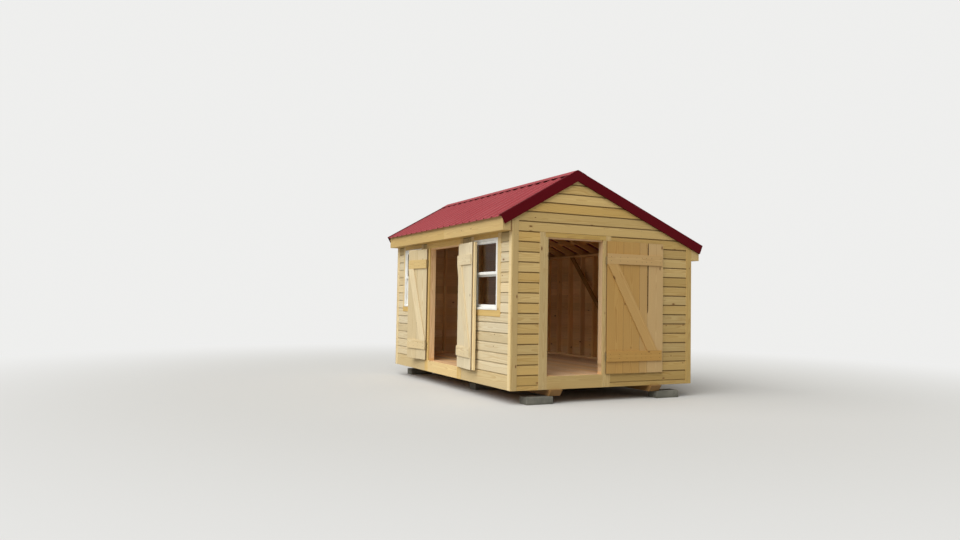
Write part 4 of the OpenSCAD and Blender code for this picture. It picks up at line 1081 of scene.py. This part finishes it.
def sheet_section():
    """The ribbed sheet's section along the ridge, in (x, height from the rib tops): its ribs, two low beads
    in each pan, and the same line again STEEL below it."""
    line = []
    for number in range(RIB_BAYS + 1):
        x = RIB_FIRST + number * RIB_PITCH
        line += [(x - RIB_FOOT / 2, -RIB_HEIGHT)] + [(x - far, height) for far, height in RIB_EDGE]
        line += [(x + far, height) for far, height in RIB_EDGE[::-1]] + [(x + RIB_FOOT / 2, -RIB_HEIGHT)]
        if number < RIB_BAYS:
            for share in BEADS:
                middle = x + RIB_PITCH * share
                line += [(middle - far, height - RIB_HEIGHT) for far, height in BEAD]
                line += [(middle + far, height - RIB_HEIGHT) for far, height in BEAD[::-1]]
    line = np.array(line)
    return np.concatenate([line, (line - [0, STEEL])[::-1]])


def roof_sheets():
    """The two sheets, carried down from the ridge, where they are cut to meet in a mitre."""
    for roof in ROOF_SIDES:
        sheet = Piece()
        carry(sheet, sheet_section(), RIDGE, (roof.down, X, roof.out),
              ((SHEET_GAP, 0, -MITRE), (roof.run, 0, 0)), arris=0)
        node = roof.name + "_roof_sheet"
        sheet.make(node + "_steel", roof_red, "hut", "roof_metal", (node,))


def cap_line(roof):
    """Half of the ridge cap's section in (y, z): down the top of its wing, round the hem and back below."""
    hem = CAP_WING - CAP_HEM
    line = np.array([(CAP_START, CAP_TOP), (CAP_WING - CAP_FOLD, CAP_TOP), (CAP_WING, CAP_TOP - STEEL),
                     (CAP_WING, CAP_LOW), (hem, CAP_LOW), (hem - HEM_SLANT, CAP_TOP - STEEL),
                     (CAP_START, CAP_TOP - STEEL)])
    return RIDGE[1:] + line[:, :1] * roof.down[1:] + line[:, 1:] * roof.out[1:]


def ridge_cap():
    """The cap over the ridge: both halves of its section, carried along the hut."""
    front, rear = ROOF_SIDES
    cap = Piece()
    carry(cap, np.concatenate([cap_line(front), cap_line(rear)[::-1]]), (-CAP_HALF, 0, 0), (X, Y, Z),
          straight(2 * CAP_HALF), arris=0)
    cap.make("ridge_cap_steel", roof_red, "hut", "roof_trim_metal", ("ridge_cap",))


def roof_screws():
    """A screw head on each rib over each purlin beyond the cap, and on each second rib through the cap."""
    screws = Piece()
    ribs = RIB_FIRST + RIB_PITCH * np.arange(1, RIB_BAYS)
    for roof in ROOF_SIDES:
        middles = [(low + high) / 2 - RIDGE for low, high in solids("purlins")]
        runs = [float(np.dot(middle, roof.down)) for middle in middles if middle[1] * roof.side > 0]
        spots = [RIDGE + X * x + roof.down * run for x in ribs for run in runs if run > CAP_WING + BEYOND_CAP]
        heads(screws, spots, X, roof.out, SCREW, SCREW_SIDES)
        edge = roof.down * (CAP_WING - CAP_SCREW_IN) + roof.out * CAP_TOP
        heads(screws, [RIDGE + X * x + edge for x in ribs[::2]], X, roof.out, SCREW, SCREW_SIDES)
    screws.make("roof_screw_heads", roof_red, "hut", "roof_metal")


def rake_trims():
    """The folded trims along the gables' edges, mitred at the ridge."""
    rakes = Piece()
    for roof in ROOF_SIDES:
        for end in (-1, 1):
            carry(rakes, RAKE_SECTION, RIDGE + end * RAKE_BACK * X, (roof.down, end * X, roof.out),
                  ((RAKE_GAP, 0, -MITRE), (roof.run, 0, 0)), arris=0)
    rakes.make("rake_trim_steel", trim_red, "hut", "roof_trim_metal", ("rake_trims",))


roof_sheets()
ridge_cap()
roof_screws()
rake_trims()

# Doors
LEAF_BOARD = 0.019
LEAF_FOOT = 0.377
HINGE_EDGE = 0.008      # from a leaf's pin to its first board
HAIR = 0.0003           # how far the ledges, the brace and the straps are from what they lie on
LEDGE = 0.146           # width of a ledge
LEDGE_INSET, TOP_LEDGE_INSET = 0.168, 0.174     # from the leaf's foot and from its top to a ledge
LEDGE_SETBACK = 0.030   # a ledge ends this far from the leaf's free edge
LEAF_BRACE = 0.150
STRAP = 0.0025
HINGE_HEIGHTS = (0.618, 1.961)
LEAF_SCREW = [(0.0045, 0.0), (0.0045, 0.0004), (0.0030, 0.0010)]
BOARD_SCREWS = (0.2, 0.75)      # screws through a ledge into a board, as shares of the board's width
LEDGE_SCREW_IN = 0.045          # from a ledge's edges to its rows of screws
LEDGE_SCREW_END = 0.02          # the least distance of a screw from a ledge's end
STRAP_SCREWS = (0.05, 0.13, 0.21)
LEAF_ARRIS = 0.0018
SEAM_SHADE = 0.9                # painted shade on the boards' side faces, for the shadow in the joints between them
WANE = 0.018                    # how much the gable leaf's last board lacks along its inner edge
WANE_LEVELS = (0.455, 0.475)    # where that lack begins and is full, as shares of the leaf's height
WANE_SLANT = 0.002              # how far the waned edge stands out of its line where the lack becomes full


class Leaf:
    """A door leaf: its pin, its directions along the leaf and out of its outer face, and its measures.

    At the angle a, along = (cos a, sin a) and out = (-sin a, cos a), and both have y turned round on a
    mirrored leaf. low_ledge and high_ledge are the heights of the ledges' lower edges. head_at_pin says
    that the brace's head is on the pin's side, and foot_in is how far its foot is set in."""

    def __init__(self, name, wood, pin, degrees, boards, ledges, brace, mirrored=False,
                 head_at_pin=True, foot_in=0.0):
        angle = math.radians(degrees)
        flip = np.array([1, -1 if mirrored else 1, 1])
        self.name, self.wood, self.pin = name, wood, np.array([*pin, 0.0])
        self.along = np.array([math.cos(angle), math.sin(angle), 0]) * flip
        self.out = np.array([-math.sin(angle), math.cos(angle), 0]) * flip
        self.boards, self.ledges, self.brace = boards, ledges, brace
        self.head_at_pin, self.foot_in = head_at_pin, foot_in
        self.widths = [board[0] for board in boards]
        self.free = HINGE_EDGE + sum(self.widths)
        self.far = self.free - LEDGE_SETBACK
        self.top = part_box(name + "_door_boards")[1][2]
        self.back = self.pin - self.out * LEAF_BOARD
        self.low_ledge = LEAF_FOOT + LEDGE_INSET
        self.high_ledge = self.top - TOP_LEDGE_INSET - LEDGE


GABLE_PIN = (2.203, -0.034)
FRONT_PIN, FRONT_PIN_Y = 0.615, -1.558      # from the front doorway's middle, and from the hut's
# Each board is (width, look), and a look is (tone, warmth, knottiness)
GABLE_LEAF = Leaf("gable", gable_door_pine, GABLE_PIN, 90,
                  boards=((0.286, (0.37, 0.80, 0.3)), (0.286, (0.37, 0.78, 0.3)), (0.140, (0.40, 0.5, 0.3)),
                          (0.286, (0.55, 0.12, 0.2))),
                  ledges=((0.38, 0.9, 0.6), (0.50, 0.3, 0.3)), brace=(0.48, 0.6, 0.5), foot_in=0.075)
LEFT_LEAF = Leaf("left", front_door_pine, (FRONT_DOOR_X - FRONT_PIN, FRONT_PIN_Y), 171, mirrored=True,
                 boards=((0.302, (0.34, 0.25, 0.3)), (0.302, (0.26, 0.35, 0.3))),
                 ledges=((0.42, 0.4, 0.3), (0.4, 0.8, 0.3)), brace=(0.58, 0.2, 0.3),
                 head_at_pin=False)
RIGHT_LEAF = Leaf("right", front_door_pine, (FRONT_DOOR_X + FRONT_PIN, FRONT_PIN_Y), 354,
                  boards=((0.302, (0.52, 0.05, 0.3)), (0.302, (0.6, 0.0, 0.3))),
                  ledges=((0.56, 0.25, 0.3), (0.6, 0.15, 0.3)), brace=(0.58, 0.2, 0.3))


def upright_board(piece, leaf, corner, width, tall, log):
    """One of a leaf's boards, with painted shade on its side faces, which darkens the joints between the
    boards as their shadow would.
    """
    # painted shade on the side faces, for the shadow in the joints
    edges = np.array([0, 0, 1, 1, 0, 0, 1, 1]) * SEAM_SHADE
    carry(piece, ease(width, LEAF_BOARD, LEAF_ARRIS), corner, (Z, leaf.along, leaf.out), straight(tall), log,
          shade=edges)


def waned_board(piece, leaf, corner, width, tall, log):
    """A leaf's board that lacks WANE along its inner edge, in its upper part.

    Its outline in (along, up) is carried through the board's thickness. The grain is then turned, so that
    the log's length is the outline's height and its depth is the thickness, and the side faces get painted
    shade, for the shadow in the joints."""
    outline = np.array([(0, 0), (width, 0), (width, tall), (WANE, tall),
                        (WANE - WANE_SLANT, WANE_LEVELS[1] * tall), (0, WANE_LEVELS[0] * tall)])
    carry(piece, outline, corner, (leaf.out, leaf.along, Z), straight(LEAF_BOARD), log)
    piece.grain[-1] = piece.grain[-1][:, ::-1] + (log[0][0] - log[0][2]) * (X - Z)
    piece.shade[-1] = np.repeat([0, SEAM_SHADE, SEAM_SHADE, 0], len(outline))


def leaf_boards(leaf):
    """A leaf's upright boards, side by side from its hinge edge. The gable leaf's last one is waned."""
    planks = Piece()
    place = HINGE_EDGE
    for number, (width, look) in enumerate(leaf.boards):
        board = waned_board if leaf is GABLE_LEAF and number == len(leaf.boards) - 1 else upright_board
        corner = leaf.pin + leaf.along * (place + HALF_JOINT) + Z * LEAF_FOOT
        board(planks, leaf, corner, width - 2 * HALF_JOINT, leaf.top - LEAF_FOOT, log_of_look(look))
        place += width
    planks.make(leaf.name + "_door_planks", leaf.wood, leaf.name + "_door", "pine_door",
                (leaf.name + "_door_boards",))


def leaf_ledges(leaf):
    """A leaf's two level ledges and the brace between them, on its inner face.

    A level cut through the brace is its width / sin(its angle). The middles of its head and foot lie half
    of such a cut inside the ledges' ends, and its foot is set in by foot_in as well."""
    ledges = Piece()
    thick = LEAF_BOARD - HAIR
    for base, look in zip((leaf.low_ledge, leaf.high_ledge), leaf.ledges):
        carry(ledges, ease(LEDGE, thick, ARRIS), leaf.back + leaf.along * HINGE_EDGE + Z * base,
              (leaf.along, Z, leaf.out), straight(leaf.far - HINGE_EDGE), log_of_look(look), ARRIS)
    foot_z, head_z = leaf.low_ledge + LEDGE, leaf.high_ledge
    cut = LEAF_BRACE / math.sin(math.atan2(head_z - foot_z, leaf.far - HINGE_EDGE - leaf.foot_in))
    if leaf.head_at_pin:
        foot, head = leaf.far - leaf.foot_in - cut / 2, HINGE_EDGE + cut / 2
    else:
        foot, head = HINGE_EDGE + leaf.foot_in + cut / 2, leaf.far - cut / 2
    low, high = (foot, foot_z + HAIR), (head, head_z - HAIR)
    run = np.array(high) - np.array(low)
    wide = cut * math.sin(math.atan2(run[1], abs(run[0])))
    slanted(ledges, leaf.back, (leaf.along, Z, leaf.out), low, high, wide, thick, log_of_look(leaf.brace))
    ledges.make(leaf.name + "_door_ledge_boards", leaf.wood, leaf.name + "_door", "pine_door",
                (leaf.name + "_door_ledges",))


def leaf_screws(leaf):
    """Screw heads: two rows in each ledge, with two to a board, and three on each hinge's strap."""
    screws = Piece()
    edges = HINGE_EDGE + np.concatenate([[0], np.cumsum(leaf.widths)])
    columns = [near + (far - near) * share for near, far in zip(edges[:-1], edges[1:])
               for share in BOARD_SCREWS]
    columns = [s for s in columns if s < leaf.far - LEDGE_SCREW_END]
    levels = [base + rise for base in (leaf.low_ledge, leaf.high_ledge)
              for rise in (LEDGE_SCREW_IN, LEDGE - LEDGE_SCREW_IN)]
    in_ledges = [leaf.back + leaf.along * s + Z * z for s in columns for z in levels]
    strap_face = leaf.pin + leaf.out * (LEAF_BOARD + HAIR + STRAP)
    in_straps = [strap_face + leaf.along * s + Z * z for s in STRAP_SCREWS for z in HINGE_HEIGHTS]
    heads(screws, in_ledges, leaf.along, -leaf.out, LEAF_SCREW)
    heads(screws, in_straps, leaf.along, leaf.out, LEAF_SCREW)
    screws.make(leaf.name + "_door_screw_heads", screw_steel, leaf.name + "_door", "hinge_steel")


STRIP, STRIP_LAP = 0.070, 0.044         # width of the cover strip, and how far it laps the left leaf
STRIP_IN, STRIP_STEP = 0.0193, 0.025    # its back, over its own leaf and over the other one
STRIP_OUT = 0.0573                      # its face
STRIP_LOOK = dict(tone=0.85, spread=0.03, warm=0.1, knots=0.2)


def cover_strip(leaf):
    """The strip along the right leaf's free edge: a stepped section in (along, out), carried upwards."""
    strip = Piece()
    start, end = leaf.free + STRIP_LAP - STRIP, leaf.free + STRIP_LAP
    section = np.array([(start, STRIP_IN), (leaf.free, STRIP_IN), (leaf.free, STRIP_STEP), (end, STRIP_STEP),
                        (end, STRIP_OUT - ARRIS), (end - ARRIS, STRIP_OUT), (start + ARRIS, STRIP_OUT),
                        (start, STRIP_OUT - ARRIS)])
    carry(strip, section, leaf.pin + Z * LEAF_FOOT, (Z, leaf.along, leaf.out), straight(leaf.top - LEAF_FOOT),
          new_log(**STRIP_LOOK))
    strip.make("right_door_cover_strip", trim_pine, "right_door", "pine_trim", ("right_door_strip",))


for leaf in (GABLE_LEAF, LEFT_LEAF, RIGHT_LEAF):
    leaf_boards(leaf)
    leaf_ledges(leaf)
    leaf_screws(leaf)
    refinish(leaf.name + "_door_hinges", hinge_steel)
cover_strip(RIGHT_LEAF)
refinish("right_door_latch", latch_steel)
refinish("hinge_plates", hinge_steel)

# Base
SKID_Y, SKID_FOOT = 0.845, 0.102        # the skids' middle lines and underside
SKID_TALL, SKID_WIDE = 0.089, 0.184
SKID_BEVEL, SKID_ARRIS = 0.070, 0.003
SKID_LOOK = dict(tone=0.2, spread=0.05, warm=0.6, knots=0.4)
BLOCK_ARRIS = 0.004


def skids():
    """Two skids, whose ends slope back by SKID_BEVEL towards their underside."""
    timbers = Piece()
    low, high = np.array(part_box("skids"))
    rise = SKID_BEVEL / SKID_TALL
    for side in (-1, 1):
        corner = (low[0], side * SKID_Y - SKID_WIDE / 2, SKID_FOOT)
        ends = (SKID_BEVEL, -rise, 0), (high[0] - low[0] - SKID_BEVEL, rise, 0)
        carry(timbers, ease(SKID_TALL, SKID_WIDE, SKID_ARRIS), corner, (X, Z, Y), ends, new_log(**SKID_LOOK),
              ARRIS)
    timbers.make("skid_timbers", skid_pine, "hut", "framing_lumber", ("skids",))


def blocks():
    """The concrete blocks, with eased edges."""
    castings = Piece()
    for low, high in solids("concrete_blocks"):
        box_board(castings, low, high, arris=BLOCK_ARRIS)
    castings.make("concrete_block_castings", cast_concrete(), "hut", "concrete", ("concrete_blocks",))


skids()
blocks()

# Stage, light and camera
BACKDROP = (0.86, 0.86, 0.85, 1)
FLOOR_REACH = 60
FADE_FROM, FADE_TO = 4.5, 12.0          # the floor fades into the backdrop between these distances


def studio_floor():
    """A plain pale floor. To the camera it fades into the backdrop away from the hut, and the light that it
    throws back onto the hut is that of a plain, slightly darker floor."""
    mesh = bpy.data.meshes.new("studio_floor")
    corners = [(x * FLOOR_REACH, y * FLOOR_REACH, 0) for x, y in ((-1, -1), (1, -1), (1, 1), (-1, 1))]
    mesh.from_pydata(corners, [], [(0, 1, 2, 3)])
    floor = bpy.data.objects.new("studio_floor", mesh)
    bpy.context.scene.collection.objects.link(floor)
    material, tree, shader = new_material("studio_floor")
    away = add_node(tree, "VectorMath", {0: object_place(tree)}, operation="LENGTH").outputs["Value"]
    seen = add_node(tree, "LightPath").outputs["Is Camera Ray"]
    feed(tree, shader, {"Base Color": blend(tree, seen, (0.44, 0.425, 0.395, 1), (0.60, 0.60, 0.59, 1)),
                        "Roughness": 1.0, "Specular IOR Level": 0.0})
    share = times(tree, ramp(tree, away, FADE_FROM, FADE_TO), seen)
    pale = add_node(tree, "Emission", {"Color": BACKDROP, "Strength": 1.0}).outputs[0]
    mixed = add_node(tree, "MixShader", {0: share, 1: shader.outputs[0], 2: pale}).outputs[0]
    feed(tree, tree.nodes["Material Output"], {"Surface": mixed})
    mesh.materials.append(material)
    floor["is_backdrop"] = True


def studio_world():
    """A soft even light from all sides, and the backdrop where the camera or the glass looks past the hut."""
    world = bpy.data.worlds.new("studio")
    bpy.context.scene.world = world
    world.use_nodes = True
    tree = world.node_tree
    path = add_node(tree, "LightPath").outputs
    seen = calc(tree, "MAXIMUM", path["Is Camera Ray"], path["Is Transmission Ray"])
    dome = add_node(tree, "Background", {"Color": (1.0, 0.98, 0.94, 1), "Strength": 0.34}).outputs[0]
    pale = add_node(tree, "Background", {"Color": BACKDROP, "Strength": 1.0}).outputs[0]
    mixed = add_node(tree, "MixShader", {0: seen, 1: dome, 2: pale}).outputs[0]
    feed(tree, tree.nodes["World Output"], {"Surface": mixed})


def lamp(name, energy, colour, width, toward):
    """A sun lamp that shines along toward, with soft edges. width is the sun's own, in degrees."""
    light = bpy.data.lights.new(name, "SUN")
    light.energy, light.color, light.angle = energy, colour, math.radians(width)
    holder = bpy.data.objects.new(name, light)
    holder.rotation_mode = "QUATERNION"
    back = Vector(-np.array(toward, float) / np.linalg.norm(toward))
    holder.rotation_quaternion = back.to_track_quat("Z", "Y")
    bpy.context.scene.collection.objects.link(holder)


FOCAL, IMAGE_WIDTH, SENSOR = 742.4781, 960, 36  # pixels, pixels and millimetres
FARTHEST = 300                                  # metres
YAW, PITCH, ROLL = 0.4614, 0.0408, 0.017        # radians
EYE = (10.7105, -6.2447, 1.3721)


def add_camera():
    """The camera at the photograph's place: it looks along ahead, with the image turned by ROLL.

    ahead = (-cos yaw * cos pitch, sin yaw * cos pitch, sin pitch)."""
    camera = bpy.data.cameras.new("camera")
    camera.sensor_width = SENSOR
    camera.lens = FOCAL / IMAGE_WIDTH * SENSOR
    camera.clip_end = FARTHEST
    ahead = np.array([-math.cos(YAW) * math.cos(PITCH), math.sin(YAW) * math.cos(PITCH), math.sin(PITCH)])
    level = np.array([math.sin(YAW), math.cos(YAW), 0])
    upright = np.cross(level, ahead)
    turn = np.eye(4)
    turn[:3, 0] = math.cos(ROLL) * level + math.sin(ROLL) * upright
    turn[:3, 1] = -math.sin(ROLL) * level + math.cos(ROLL) * upright
    turn[:3, 2] = -ahead
    turn[:3, 3] = EYE
    holder = bpy.data.objects.new("camera", camera)
    holder.matrix_world = Matrix(turn.tolist())
    bpy.context.scene.collection.objects.link(holder)
    bpy.context.scene.camera = holder


studio_floor()
studio_world()
lamp("sky", energy=2.76, colour=(1.0, 0.99, 0.96), width=60, toward=(-0.45, 0.75, -1.0))
lamp("key", energy=0.8, colour=(0.98, 0.99, 1.0), width=35, toward=(0.35, 1.0, -0.75))
add_camera()
bpy.context.scene.view_settings.view_transform = "Standard"

low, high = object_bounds()
